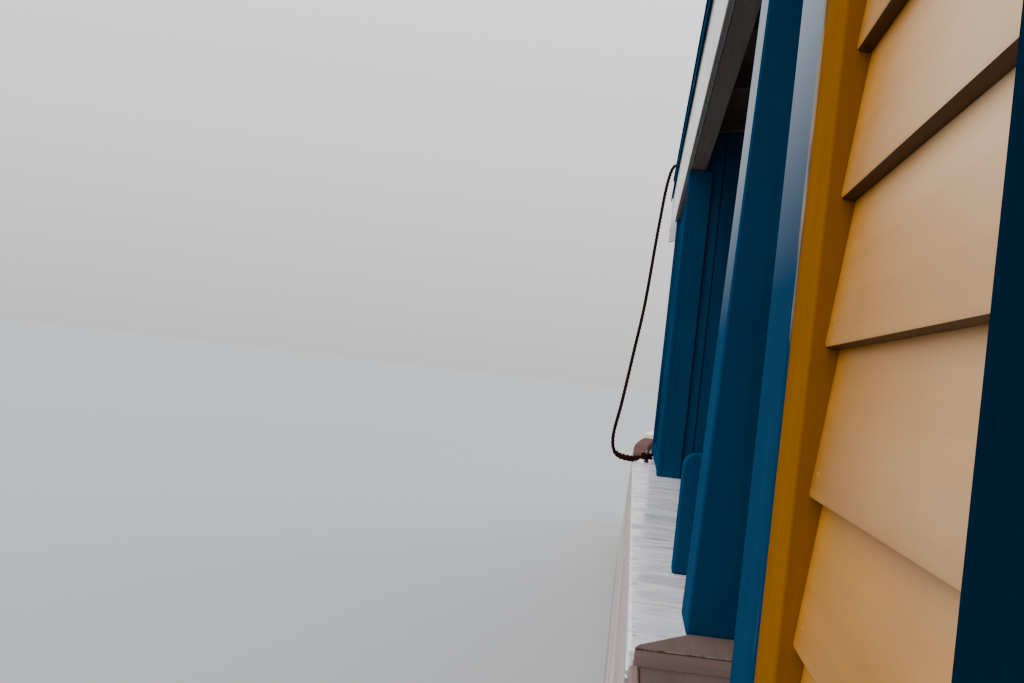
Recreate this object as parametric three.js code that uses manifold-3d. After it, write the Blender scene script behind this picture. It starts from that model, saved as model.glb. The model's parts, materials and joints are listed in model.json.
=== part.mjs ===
// A wooden canal passenger boat, towed from the bank: a flat-bottomed hull with bluff ends,
// a clapboard cabin aft, side entrances, an open-sided seating section and a small fore cabin,
// all under one long cambered roof. Millimetres: +X is forward, +Y is port, +Z is up.
// The origin is under the middle of the flat bottom.
import * as THREE from "three";
import { mergeVertices } from "three/addons/utils/BufferGeometryUtils.js";
import Module from "manifold-3d";

const wasm = await Module();
wasm.setup();

// Clearance between flat pieces that touch, between a pin and its eye, and between curved pieces
const GAP = 0.3;
const PIN_GAP = 0.45;
const CURVE_GAP = 0.8;

// Hull
const HALF_LENGTH = 11750;
const HALF_BOTTOM = 2062;
const SIDE_LEAN = 0.04;
const BOTTOM_THICK = 60;
const SIDE_THICK = 90;
const HULL_TOP = 1100;
const DECK_THICK = 30;
const WELL_END = 7780;
const BOW = { sign: 1, length: 3700, power: 2.6 };
const STERN = { sign: -1, length: 3000, power: 3 };
const END_STEPS = 10;

// How far a cutting shape reaches past the faces that it cuts, and a joined one into its neighbour
const CUT_PAST = 50;
const WELD = 5;

// Gunwale: a painted ledge forward, a plain covering board beside the cabin and at the entrance
const LEDGE = { start: 1270, end: 7150, inner: 1790, outer: 2017, top: 1150 };
const BOARD = { outer: 2010, top: 1125 };
const TONGUE_CLEAR = 5;
const RAIL_THICK = 92;
const RAIL_RISE = 140;
const CAP_THICK = 28;
const CAP_START = 2;

// Inside floor
const FLOOR = { top: 530, thick: 40, half: 1940, bearer: 60, bearers: [1700, 600, -600, -1700] };

// Upper works
const EAVE = { bottom: 2585, top: 2720, inner: 1830, outer: 1920 };
const ROOF = { edge: 1950, edgeThick: 40, crown: 3036, thick: 56, camber: 180, chord: 1910 };
const ARC_STEPS = { skin: 24, inside: 16, gable: 20 };
const ROOF_RADIUS = (ROOF.chord ** 2 + ROOF.camber ** 2) / (2 * ROOF.camber);
const CARLIN = { depth: 90, thick: 60, pitch: 912.5, count: 17 };
const RIDGE = { half: 40, end: 7700 };
const GABLE = { thick: 28, outer: 1945, bottom: 2450, crown: 2756 };
const WALL_THICK = 60;
const CABIN = { fore: 305, wall: 1904 };
const FORE_CABIN = { aft: 5700, wall: 1887 };
const LAP = { first: 1133, exposure: 116.5, butt: 1908, thin: 1896 };
const CORNER_BOARD = { width: 135, outer: 1920 };
const POST = { depth: 137, outer: 1922, length: 220 };
const POST_STARTS = { entrance_aft: 305, entrance_fore: 1450 };

// Windows of the aft cabin: the forward edge of the first casing, then one each pitch
const WINDOW = { first: -415, pitch: 2000, count: 4, width: 730, bottom: 1360, height: 900 };
const CASING = { width: 100, outer: 1925 };

// Doorways in the bulkheads: half width, sill and head
const DOORWAYS = {
  end: { half: 330, sill: 1135, head: 2670 },
  inner: { half: 400, sill: FLOOR.top, head: 2400 },
};
const DOOR = { thick: 40, lap: 25, clear: 5, hinge: 20, off: 15, foot: 8, strap: 420 };
const HINGE = { pin: 10, eye: 20, height: 40, lug: 12, under: 1, above: 8, heights: [1400, 2350] };
const ROUND_SIDES = 32;

// Steering gear
const POST_TIMBER = { thick: 120, half: 80, top: 1345 };
const STOCK = { x: -11950, radius: 55, bottom: 130, top: 2100, sides: 48 };
const BLADE = { end: -13150, thick: 60, bottom: 150, top: 1080 };
const GUDGEON = { half: 75, reach: 80, thick: 50, heights: [320, 940], notch: 125, clear: 12, cheek: 100 };
const TILLER = { bottom: 1985, depth: 90, head: 90, end: -9900, width: 70, tip: 55 };

// Fittings
const BENCH = { inner: 1300, outer: 1745, seat: 960, board: 40, leg: 50, legs: 4, nose: 40 };
const CABIN_BENCH = { start: -7600, end: -700 };
const SEAT_END = { outer: 1925, top: 1420, thick: 60, start: 2230, clear: 40 };
const STEP = { start: 560, end: 1420, tread: 280, rises: [730, 930], outer: 1780, riser: 20 };
const CLEAT = { length: 150, height: 62, thick: 26, x: 6800, y: 1945 };
const CLEAT_SHAPE = { foot: 0.6, neck: 0.25, crest: 0.2, sole: 9, heel: 14, throat: 24, horn: 12, tip: 2 };
const ROOF_CLEAT = { x: 7400, y: 1800, lift: 0.1 };
const BITT = { x: 9600, side: 170, height: 520, bar: 330, barThick: 60, barDrop: 190 };
const ROPE = { radius: 10, sides: 10, steps: 44 };

// Route of the mooring rope, from the roof cleat over the roof's edge and down to the ledge
const ROPE_ROUTE = [
  [7400, 1817.9, 2899.6],
  [7400, 1857.3, 2892.6],
  [7398, 1915, 2878],
  [7394, 1954, 2862],
  [7386, 1972, 2838],
  [7370, 1984, 2790],
  [7330, 1998, 2690],
  [7250, 2012, 2510],
  [7190, 2022, 2372],
  [7060, 2046, 2010],
  [6960, 2080, 1718],
  [6900, 2112, 1455],
  [6862, 2137, 1290],
  [6846, 2130, 1205],
  [6832, 2094, 1170],
  [6814, 2032, 1161],
  [6805, 2007, 1164],
  [6801, 1982, 1174],
  [6800, 1958.9, 1175],
];

// Paints and bare materials
const PAINTS = {
  navy: [0x0b3a55, 0.35],
  white: [0xe4e2da, 0.45],
  ochre: [0x8c5c06, 0.5],
  clapboard: [0xb08a55, 0.6],
  taupe: [0x5d4e4b, 0.6],
  hull: [0xb4aaa2, 0.6],
  planks: [0x6e5f52, 0.8],
  timber: [0x57493c, 0.8],
  iron: [0x2a2a2d, 0.5],
  rope: [0x4a3128, 0.95],
};

const boat = new THREE.Group();
const materials = {};
for (const [name, [color, roughness]] of Object.entries(PAINTS)) {
  const metalness = name === "iron" ? 0.6 : 0;
  materials[name] = new THREE.MeshStandardMaterial({ color, roughness, metalness });
}

// Geometry with only positions, its shared vertices merged
function bare(geometry) {
  const plain = geometry.clone();
  for (const name of Object.keys(plain.attributes)) {
    if (name !== "position") plain.deleteAttribute(name);
  }
  return mergeVertices(plain, 1e-3);
}

function toSolid(geometry) {
  const merged = bare(geometry);
  return new wasm.Manifold(
    new wasm.Mesh({
      numProp: 3,
      vertProperties: new Float32Array(merged.attributes.position.array),
      triVerts: new Uint32Array(merged.index.array),
    }),
  );
}

function toGeometry(solid) {
  const mesh = solid.getMesh();
  const geometry = new THREE.BufferGeometry();
  const step = mesh.numProp;
  const positions = new Float32Array(mesh.numVert * 3);
  for (let i = 0; i < mesh.numVert; i++) {
    positions.set(mesh.vertProperties.subarray(i * step, i * step + 3), i * 3);
  }
  geometry.setAttribute("position", new THREE.BufferAttribute(positions, 3));
  geometry.setIndex(new THREE.BufferAttribute(mesh.triVerts, 1));
  return geometry;
}

function join(first, ...others) {
  return toGeometry(others.reduce((sum, next) => sum.add(toSolid(next)), toSolid(first)));
}

function cut(first, ...others) {
  return toGeometry(others.reduce((rest, next) => rest.subtract(toSolid(next)), toSolid(first)));
}

// A box between two corners
function box(x0, x1, y0, y1, z0, z1) {
  const geometry = new THREE.BoxGeometry(x1 - x0, y1 - y0, z1 - z0);
  return geometry.translate((x0 + x1) / 2, (y0 + y1) / 2, (z0 + z1) / 2);
}

function shapeOf(points) {
  return new THREE.Shape(points.map(([a, b]) => new THREE.Vector2(a, b)));
}

// An outline in Y and Z, run along X
function alongX(points, x0, x1) {
  const settings = { depth: x1 - x0, bevelEnabled: false };
  const geometry = new THREE.ExtrudeGeometry(shapeOf(points), settings);
  const turn = new THREE.Matrix4().set(0, 0, 1, x0, 1, 0, 0, 0, 0, 1, 0, 0, 0, 0, 0, 1);
  return geometry.applyMatrix4(turn);
}

// An outline in X and Y, run along Z
function alongZ(points, z0, z1) {
  const settings = { depth: z1 - z0, bevelEnabled: false };
  return new THREE.ExtrudeGeometry(shapeOf(points), settings).translate(0, 0, z0);
}

// An outline in X and Z, run along Y
function alongY(points, y0, y1) {
  const settings = { depth: y1 - y0, bevelEnabled: false };
  const geometry = new THREE.ExtrudeGeometry(shapeOf(points), settings);
  return geometry.rotateX(Math.PI / 2).translate(0, y1, 0);
}

function rod(x, y, z0, z1, radius, sides) {
  const geometry = new THREE.CylinderGeometry(radius, radius, z1 - z0, sides);
  return geometry.rotateX(Math.PI / 2).translate(x, y, (z0 + z1) / 2);
}

// A closed skin through rings of points, each ring with the same number, capped at both ends
function loft(rings) {
  const count = rings[0].length;
  const positions = rings.flat(2);
  const index = [];
  for (let r = 0; r < rings.length - 1; r++) {
    for (let i = 0; i < count; i++) {
      const a = r * count + i;
      const b = r * count + ((i + 1) % count);
      index.push(a, b, a + count, b, b + count, a + count);
    }
  }
  const last = (rings.length - 1) * count;
  for (const [a, b, c] of capOf(rings[0])) index.push(c, b, a);
  for (const [a, b, c] of capOf(rings.at(-1))) index.push(last + a, last + b, last + c);
  const geometry = new THREE.BufferGeometry();
  geometry.setAttribute("position", new THREE.Float32BufferAttribute(positions, 3));
  geometry.setIndex(volumeOf(positions, index) < 0 ? index.reverse() : index);
  return geometry;
}

// Triangles that close a flat ring, wound the way the ring runs
function capOf(ring) {
  const normal = new THREE.Vector3();
  ring.forEach((p, i) => {
    const q = ring[(i + 1) % ring.length];
    normal.x += (p[1] - q[1]) * (p[2] + q[2]);
    normal.y += (p[2] - q[2]) * (p[0] + q[0]);
    normal.z += (p[0] - q[0]) * (p[1] + q[1]);
  });
  const sizes = normal.toArray().map(Math.abs);
  const axis = sizes.indexOf(Math.max(...sizes));
  const [u, v] = [[1, 2], [2, 0], [0, 1]][axis];
  const flat = ring.map((p) => new THREE.Vector2(p[u], p[v]));
  const runsLeft = normal.getComponent(axis) > 0;
  const order = flat.map((_, i) => (runsLeft ? i : flat.length - 1 - i));
  const faces = THREE.ShapeUtils.triangulateShape(order.map((i) => flat[i]), []);
  return faces.map(([a, b, c]) => {
    const face = [order[a], order[b], order[c]];
    return runsLeft ? face : face.reverse();
  });
}

function volumeOf(positions, index) {
  const [a, b, c] = [new THREE.Vector3(), new THREE.Vector3(), new THREE.Vector3()];
  let volume = 0;
  for (let i = 0; i < index.length; i += 3) {
    a.fromArray(positions, index[i] * 3);
    b.fromArray(positions, index[i + 1] * 3);
    c.fromArray(positions, index[i + 2] * 3);
    volume += a.dot(b.cross(c)) / 6;
  }
  return volume;
}

// The same piece on the other side or at the other end, with its faces turned back outwards
function mirrored(geometry, axis) {
  const copy = bare(geometry);
  copy.scale(axis === "x" ? -1 : 1, axis === "y" ? -1 : 1, 1);
  copy.setIndex([...copy.index.array].reverse());
  return copy;
}

function add(name, geometry, paint) {
  const mesh = new THREE.Mesh(geometry, materials[paint]);
  mesh.name = name;
  boat.add(mesh);
}

function addPair(name, geometry, paint) {
  add(name + "_port", geometry, paint);
  add(name + "_starboard", mirrored(geometry, "y"), paint);
}

// Half breadth of the planking's outside at a height
function sideHalf(z) {
  return HALF_BOTTOM - SIDE_LEAN * z;
}

// Points round one end of the hull, from the port shoulder to the starboard shoulder
function endCurve(end, half, inset = 0) {
  const reach = end.length - inset;
  const shoulder = HALF_LENGTH - end.length;
  const points = [];
  for (let i = 0; i <= 2 * END_STEPS; i++) {
    const turn = (Math.PI / 2) * (i / END_STEPS);
    const along = Math.sin(turn) ** (2 / end.power);
    const across = Math.abs(Math.cos(turn)) ** (2 / end.power) * (i > END_STEPS ? -1 : 1);
    const tip = i === END_STEPS ? 0 : across;
    points.push([end.sign * (shoulder + reach * along), (half - inset) * tip]);
  }
  return points;
}

function cambered(crown, y) {
  return crown - (ROOF_RADIUS - Math.sqrt(ROOF_RADIUS ** 2 - y ** 2));
}

// Points of the roof's curve between two half breadths, port to starboard
function roofCurve(crown, from, to, steps) {
  const points = [];
  for (let i = 0; i <= steps; i++) {
    const y = from + ((to - from) * i) / steps;
    points.push([y, cambered(crown, y)]);
  }
  return points;
}

const ROOF_UNDER = ROOF.crown - ROOF.thick;

// Flat bottom
function bottom() {
  const outline = [...endCurve(BOW, HALF_BOTTOM), ...endCurve(STERN, HALF_BOTTOM).reverse()];
  return alongZ(outline, 0, BOTTOM_THICK);
}

// One side's planking between the two decked ends
function side() {
  const foot = BOTTOM_THICK + GAP;
  const outline = [
    [sideHalf(foot), foot],
    [sideHalf(HULL_TOP), HULL_TOP],
    [sideHalf(HULL_TOP) - SIDE_THICK, HULL_TOP],
    [sideHalf(foot) - SIDE_THICK, foot],
  ];
  return alongX(outline, -WELL_END, WELL_END);
}

// A decked end of the hull, solid from the bottom planks to the deck
function decked(end) {
  const aft = end.sign * (WELL_END + GAP);
  const ring = (z) => {
    const half = sideHalf(z);
    const curve = endCurve(end, half);
    return [[aft, half], ...curve, [aft, -half]].map(([x, y]) => [x, y, z]);
  };
  return loft([ring(BOTTOM_THICK + GAP), ring(HULL_TOP)]);
}

// Deck planks inside the toe rail
function deck(end) {
  const aft = end.sign * (WELL_END + GAP);
  const half = sideHalf(LEDGE.top + RAIL_RISE);
  const curve = endCurve(end, half, RAIL_THICK + GAP);
  const shoulder = half - RAIL_THICK - GAP;
  const outline = [[aft, shoulder], ...curve, [aft, -shoulder]];
  return alongZ(outline, HULL_TOP + GAP, HULL_TOP + DECK_THICK);
}

// Height of the toe rail's top, which rises towards the stem
function sheer(x) {
  const along = (Math.abs(x) - LEDGE.end) / (HALF_LENGTH - LEDGE.end);
  return LEDGE.top + RAIL_RISE * along ** 2;
}

// A low wall round one end of the deck, between two heights given for each place
function rail(end, lower, upper, straight, skip) {
  const turns = endCurve(end, 1).map((_, i) => i);
  const used = turns.filter((i) => i >= skip && i <= 2 * END_STEPS - skip);
  const ringAt = (place) => {
    const corner = (inset, z) => {
      const half = sideHalf(z(place.x));
      if (place.turn === undefined) return [place.x, place.side * (half - inset), z(place.x)];
      const [x, y] = endCurve(end, half, inset)[place.turn];
      return [x, y, z(place.x)];
    };
    return [corner(0, lower), corner(0, upper), corner(RAIL_THICK, upper), corner(RAIL_THICK, lower)];
  };
  const outside = endCurve(end, HALF_BOTTOM);
  const middle = used.map((turn) => ({ turn, x: outside[turn][0] }));
  const port = straight.map((x) => ({ side: 1, x: end.sign * x }));
  const starboard = [...port].reverse().map(({ x }) => ({ side: -1, x }));
  return loft([...port, ...middle, ...starboard].map(ringAt));
}

function toeRail(end) {
  const start = LEDGE.end + GAP;
  return rail(end, () => HULL_TOP + GAP, sheer, [start, WELL_END], 0);
}

function railCap(end) {
  const lower = (x) => sheer(x) + CURVE_GAP;
  return rail(end, lower, (x) => sheer(x) + CAP_THICK, [], CAP_START);
}

// The painted ledge and the covering boards, with a narrow tongue inside the toe rail
function gunwale(start, end, top, outer) {
  const tongue = end > 0 ? WELL_END : -WELL_END;
  const inner = sideHalf(HULL_TOP) - RAIL_THICK - TONGUE_CLEAR;
  const outline = [
    [start, LEDGE.inner],
    [tongue, LEDGE.inner],
    [tongue, inner],
    [end, inner],
    [end, outer],
    [start, outer],
  ];
  if (end < start) outline.reverse();
  return alongZ(outline, HULL_TOP + GAP, top);
}

// Floor boards on bearers that stand on the bottom
function floor() {
  const slab = FLOOR.top - FLOOR.thick;
  const foot = BOTTOM_THICK + GAP;
  const outline = [[FLOOR.half, FLOOR.top], [FLOOR.half, slab]];
  for (const bearer of FLOOR.bearers) {
    const [outer, inner] = [bearer + FLOOR.bearer / 2, bearer - FLOOR.bearer / 2];
    outline.push([outer, slab], [outer, foot], [inner, foot], [inner, slab]);
  }
  outline.push([-FLOOR.half, slab], [-FLOOR.half, FLOOR.top]);
  const end = WELL_END - WALL_THICK - GAP;
  return alongX(outline.reverse(), -end, end);
}

// Side wall of the aft cabin: boards that lap, windows cut, casings proud of the boards
function cabinWall() {
  const foot = BOARD.top + GAP;
  const outline = [[CABIN.wall - WALL_THICK, foot], [LAP.thin, foot]];
  for (let z = LAP.first; z < EAVE.bottom - LAP.exposure / 2; z += LAP.exposure) {
    const next = Math.min(z + LAP.exposure, EAVE.bottom);
    outline.push([LAP.thin, z], [LAP.butt, z], [LAP.thin, next]);
  }
  outline.push([CABIN.wall - WALL_THICK, EAVE.bottom]);
  const repeats = (p, before) => p[0] === before[0] && p[1] === before[1];
  const clean = outline.filter((p, i) => i === 0 || !repeats(p, outline[i - 1]));
  const ends = CORNER_BOARD.width + GAP;
  const boards = alongX(clean, -WELL_END + ends, CABIN.fore - ends);
  const lining = CORNER_BOARD.outer - WALL_THICK - GAP;
  const inner = box(-WELL_END, CABIN.fore, CABIN.wall - WALL_THICK, lining, foot, EAVE.bottom);
  const casings = [];
  const openings = [];
  for (let i = 0; i < WINDOW.count; i++) {
    const fore = WINDOW.first - i * WINDOW.pitch;
    const aft = fore - WINDOW.width - 2 * CASING.width;
    const [low, high] = [WINDOW.bottom, WINDOW.bottom + WINDOW.height];
    const back = CABIN.wall - WALL_THICK;
    const margin = CASING.width;
    casings.push(box(aft, fore, back, CASING.outer, low - margin, high + margin));
    openings.push(
      box(aft + margin, fore - margin, back - CUT_PAST, CASING.outer + CUT_PAST, low, high),
    );
  }
  return cut(join(boards, inner, ...casings), ...openings);
}

function cornerBoard(start) {
  const inner = CORNER_BOARD.outer - WALL_THICK;
  const end = start + CORNER_BOARD.width;
  return box(start, end, inner, CORNER_BOARD.outer, BOARD.top + GAP, EAVE.bottom);
}

// A bulkhead across the boat, up to the roof, with its doorway cut
function bulkhead(x0, wallInner, ledgeTop, doorway, ridgeNotch) {
  const under = HULL_TOP - GAP;
  const low = FLOOR.top + GAP;
  const sideInner = (z) => sideHalf(z) - SIDE_THICK - PIN_GAP;
  const top = Math.min(EAVE.inner, wallInner) - GAP;
  const crown = ROOF_UNDER - CURVE_GAP;
  const half = [
    [sideInner(low), low],
    [sideInner(under), under],
    [LEDGE.inner - GAP, under],
    [LEDGE.inner - GAP, ledgeTop + GAP],
    [wallInner - GAP, ledgeTop + GAP],
    [wallInner - GAP, EAVE.bottom],
    [top, EAVE.bottom],
  ].filter((p, i, all) => i === 0 || p[0] !== all[i - 1][0] || p[1] !== all[i - 1][1]);
  const across = half.map(([y, z]) => [-y, z]).reverse();
  const arch = roofCurve(crown, top, -top, ARC_STEPS.inside);
  const panel = alongX([...half, ...arch, ...across], x0, x0 + WALL_THICK);
  const { half: door, sill, head } = doorway;
  const x1 = x0 + WALL_THICK;
  const [from, to] = [x0 - CUT_PAST, x1 + CUT_PAST];
  const holes = [box(from, to, -door, door, sill === FLOOR.top ? sill - CUT_PAST : sill, head)];
  const notchHalf = RIDGE.half + GAP;
  const notch = ROOF_UNDER - CARLIN.depth - GAP;
  if (ridgeNotch) holes.push(box(from, to, -notchHalf, notchHalf, notch, ROOF.crown));
  return cut(panel, ...holes);
}

// The end bulkhead carries the hinge pins of its door on lugs
function endBulkhead(wallInner, ledgeTop) {
  const panel = bulkhead(WELL_END - WALL_THICK, wallInner, ledgeTop, DOORWAYS.end, false);
  const axis = hingeAxis();
  const parts = [];
  for (const z of HINGE.heights) {
    const base = z - HINGE.lug - HINGE.under;
    const half = HINGE.pin + HINGE.under;
    const lug = [WELL_END - WELD, axis.x + half, axis.y - half, axis.y + half];
    parts.push(box(...lug, base, z - HINGE.under));
    parts.push(rod(axis.x, axis.y, base, z + HINGE.height + HINGE.above, HINGE.pin, ROUND_SIDES));
  }
  return join(panel, ...parts);
}

function hingeAxis() {
  const x = WELL_END + DOOR.clear + DOOR.thick + DOOR.off;
  return { x, y: DOORWAYS.end.half + DOOR.lap + DOOR.hinge };
}

// A ledged door that closes over the outside of its doorway, with the eyes of its strap hinges
function door() {
  const { half, sill, head } = DOORWAYS.end;
  const x0 = WELL_END + DOOR.clear;
  const x1 = x0 + DOOR.thick;
  const edge = half + DOOR.lap;
  const leaf = box(x0, x1, -edge, edge, sill + DOOR.foot, head + DOOR.lap);
  const axis = hingeAxis();
  const straps = HINGE.heights.flatMap((z) => [
    box(x1 - WELD, axis.x + WELD, edge - DOOR.strap, axis.y, z, z + HINGE.height),
    rod(axis.x, axis.y, z, z + HINGE.height, HINGE.eye, ROUND_SIDES),
  ]);
  const bores = HINGE.heights.map((z) =>
    rod(axis.x, axis.y, z - WELD, z + HINGE.height + WELD, HINGE.pin + PIN_GAP, ROUND_SIDES),
  );
  return cut(join(leaf, ...straps), ...bores);
}

// Roof skin with a deep edge board along both sides
function roof() {
  const top = roofCurve(ROOF.crown, ROOF.edge, -ROOF.edge, ARC_STEPS.skin);
  const inner = ROOF.edge - ROOF.edgeThick;
  const under = roofCurve(ROOF_UNDER, -inner, inner, ARC_STEPS.skin);
  const foot = EAVE.top + GAP;
  const outline = [
    ...top,
    [-ROOF.edge, foot],
    [-inner, foot],
    ...under,
    [inner, foot],
    [ROOF.edge, foot],
  ];
  return alongX(outline, -WELL_END, WELL_END);
}

// Arched carlins under the roof, tied by a ridge timber
function roofFrame() {
  const end = ROOF.chord - GAP;
  const seat = EAVE.top + GAP;
  const inner = EAVE.inner - CURVE_GAP;
  const low = ROOF_UNDER - CARLIN.depth;
  const outline = [
    ...roofCurve(ROOF_UNDER - CURVE_GAP, end, -end, ARC_STEPS.inside),
    [-end, seat],
    [-inner, seat],
    ...roofCurve(low, -inner, inner, ARC_STEPS.inside).filter(([, z]) => z > seat),
    [inner, seat],
    [end, seat],
  ];
  const first = (-CARLIN.pitch * (CARLIN.count - 1)) / 2;
  const carlins = Array.from({ length: CARLIN.count }, (_, i) => {
    const x = first + i * CARLIN.pitch;
    return alongX(outline, x - CARLIN.thick / 2, x + CARLIN.thick / 2);
  });
  const ridgeTop = cambered(ROOF_UNDER - CURVE_GAP, RIDGE.half);
  const ridge = box(-RIDGE.end, RIDGE.end, -RIDGE.half, RIDGE.half, low, ridgeTop);
  return join(ridge, ...carlins);
}

// Board that closes the end of the roof, its lower edge arched over the door
function gable() {
  const chord = GABLE.outer;
  const sagitta = GABLE.crown - GABLE.bottom;
  const radius = (chord ** 2 + sagitta ** 2) / (2 * sagitta);
  const steps = ARC_STEPS.gable;
  const lower = Array.from({ length: steps + 1 }, (_, i) => {
    const y = -chord + (2 * chord * i) / steps;
    return [y, GABLE.crown - (radius - Math.sqrt(radius ** 2 - y ** 2))];
  });
  const outline = [...roofCurve(ROOF.crown, chord, -chord, steps), ...lower];
  return alongX(outline, WELL_END + GAP, WELL_END + GABLE.thick);
}

// A bench along one side, on boards that stand across it
function bench(start, end) {
  const top = BENCH.seat;
  const low = FLOOR.top + GAP;
  const seat = box(start, end, BENCH.inner, BENCH.outer, top - BENCH.board, top);
  const legs = Array.from({ length: BENCH.legs }, (_, i) => {
    const x = start + ((end - start - BENCH.leg) * i) / (BENCH.legs - 1);
    return box(x, x + BENCH.leg, BENCH.inner + BENCH.nose, BENCH.outer, low, top - WELD);
  });
  return join(seat, ...legs);
}

// The open section's bench has a tall end board that stands over the ledge
function seatWithEnd() {
  const start = SEAT_END.start + SEAT_END.thick - WELD;
  const seat = bench(start, FORE_CABIN.aft - SEAT_END.clear);
  const low = FLOOR.top + GAP;
  const above = LEDGE.top + GAP;
  const outline = [
    [BENCH.inner, low],
    [BENCH.outer, low],
    [BENCH.outer, above],
    [SEAT_END.outer, above],
    [SEAT_END.outer, SEAT_END.top],
    [BENCH.inner, SEAT_END.top],
  ];
  return join(seat, alongX(outline, SEAT_END.start, SEAT_END.start + SEAT_END.thick));
}

// The entrance's threshold board, its riser and two steps down to the floor
function entrySteps() {
  const low = FLOOR.top + GAP;
  const [first, second] = STEP.rises;
  const outer = STEP.outer;
  const outline = [
    [outer - 2 * STEP.tread, low],
    [outer, low],
    [outer, second],
    [outer - STEP.tread, second],
    [outer - STEP.tread, first],
    [outer - 2 * STEP.tread, first],
  ];
  const threshold = [
    [outer - STEP.riser, second - WELD],
    [outer, second - WELD],
    [outer, HULL_TOP + GAP],
    [BOARD.outer, HULL_TOP + GAP],
    [BOARD.outer, BOARD.top],
    [outer - STEP.riser, BOARD.top],
  ];
  const steps = alongX(outline, STEP.start, STEP.end);
  return join(steps, alongX(threshold, STEP.start, LEDGE.start - GAP));
}

// A horn cleat seen from the side: foot, neck and two horns
function cleat() {
  const half = CLEAT.length / 2;
  const { height } = CLEAT;
  const { foot, neck, crest, sole, heel, throat, horn, tip } = CLEAT_SHAPE;
  const side = [
    [half * foot, GAP],
    [half * foot, sole],
    [half * neck, heel],
    [half * neck, height - throat],
    [half, height - horn],
    [half, height - tip],
    [half * crest, height],
  ];
  const outline = [...side, ...side.map(([x, z]) => [-x, z]).reverse()];
  return alongY(outline, -CLEAT.thick / 2, CLEAT.thick / 2);
}

function addCleats() {
  const places = { fore: [CLEAT.x, LEDGE.top], aft: [-CLEAT.x, BOARD.top] };
  for (const [name, [x, z]] of Object.entries(places)) {
    addPair("cleat_" + name, cleat().translate(x, CLEAT.y, z), "iron");
  }
  const { x: roofX, y, lift } = ROOF_CLEAT;
  const slope = Math.asin(y / ROOF_RADIUS);
  const seated = cleat().rotateX(-slope).translate(roofX, y, cambered(ROOF.crown, y) + lift);
  addPair("roof_cleat", seated, "iron");
}

// Towing bitt on the foredeck: a post with a cross bar
function bitt() {
  const half = BITT.side / 2;
  const base = HULL_TOP + DECK_THICK + GAP;
  const top = base + BITT.height;
  const post = box(BITT.x - half, BITT.x + half, -half, half, base, top);
  const low = top - BITT.barDrop;
  const reach = half + BITT.bar / 2;
  const barHalf = BITT.barThick / 2;
  const bar = box(BITT.x - barHalf, BITT.x + barHalf, -reach, reach, low, low + BITT.barThick);
  return join(post, bar);
}

// Timber at the stem, and the like timber aft that carries the rudder's gudgeons
function endTimber() {
  const x0 = HALF_LENGTH + GAP;
  const { thick, half, top } = POST_TIMBER;
  return box(x0, x0 + thick, -half, half, 0, top);
}

function sternPost() {
  const face = -HALF_LENGTH - GAP - POST_TIMBER.thick;
  const parts = GUDGEON.heights.map((z) =>
    box(STOCK.x - GUDGEON.reach, face + WELD, -GUDGEON.half, GUDGEON.half, z, z + GUDGEON.thick),
  );
  const bores = GUDGEON.heights.map((z) =>
    rod(STOCK.x, 0, z - WELD, z + GUDGEON.thick + WELD, STOCK.radius + PIN_GAP, STOCK.sides),
  );
  return cut(join(mirrored(endTimber(), "x"), ...parts), ...bores);
}

function rudder() {
  const { thick, end, bottom: low, top } = BLADE;
  const blade = box(end, STOCK.x, -thick / 2, thick / 2, low, top);
  const { notch, cheek, clear } = GUDGEON;
  const notches = GUDGEON.heights.map((z) =>
    box(STOCK.x - notch, STOCK.x + WELD, -cheek, cheek, z - clear, z + GUDGEON.thick + clear),
  );
  return join(cut(blade, ...notches), rod(STOCK.x, 0, STOCK.bottom, STOCK.top, STOCK.radius, STOCK.sides));
}

function tiller() {
  const { bottom: low, depth, head, end, width, tip } = TILLER;
  const outline = [
    [STOCK.x - head, -head],
    [STOCK.x + head, -head],
    [STOCK.x + 2 * head, -width / 2],
    [end, -tip / 2],
    [end, tip / 2],
    [STOCK.x + 2 * head, width / 2],
    [STOCK.x + head, head],
    [STOCK.x - head, head],
  ];
  const bar = alongZ(outline, low, low + depth);
  return cut(bar, rod(STOCK.x, 0, low - WELD, low + depth + WELD, STOCK.radius + PIN_GAP, STOCK.sides));
}

function rope() {
  const route = new THREE.CatmullRomCurve3(ROPE_ROUTE.map((p) => new THREE.Vector3(...p)));
  const section = new THREE.Shape();
  for (let i = 0; i < ROPE.sides; i++) {
    const turn = (2 * Math.PI * i) / ROPE.sides;
    const [x, y] = [ROPE.radius * Math.cos(turn), ROPE.radius * Math.sin(turn)];
    if (i === 0) section.moveTo(x, y);
    else section.lineTo(x, y);
  }
  return new THREE.ExtrudeGeometry(section, { steps: ROPE.steps, extrudePath: route });
}

// Hull
add("bottom_planks", bottom(), "planks");
addPair("hull_side", side(), "hull");
add("bow_hull", decked(BOW), "hull");
add("stern_hull", decked(STERN), "hull");
add("bow_deck", deck(BOW), "planks");
add("stern_deck", deck(STERN), "planks");
add("bow_toe_rail", toeRail(BOW), "taupe");
add("stern_toe_rail", toeRail(STERN), "taupe");
add("bow_rail_cap", railCap(BOW), "white");
add("stern_rail_cap", railCap(STERN), "white");
add("stem_timber", endTimber(), "timber");
add("stern_post", sternPost(), "timber");
addPair("white_ledge", gunwale(LEDGE.start, LEDGE.end, LEDGE.top, LEDGE.outer), "white");
addPair("covering_board", gunwale(STEP.start - GAP, -LEDGE.end, BOARD.top, BOARD.outer), "taupe");
add("floor", floor(), "planks");

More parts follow.
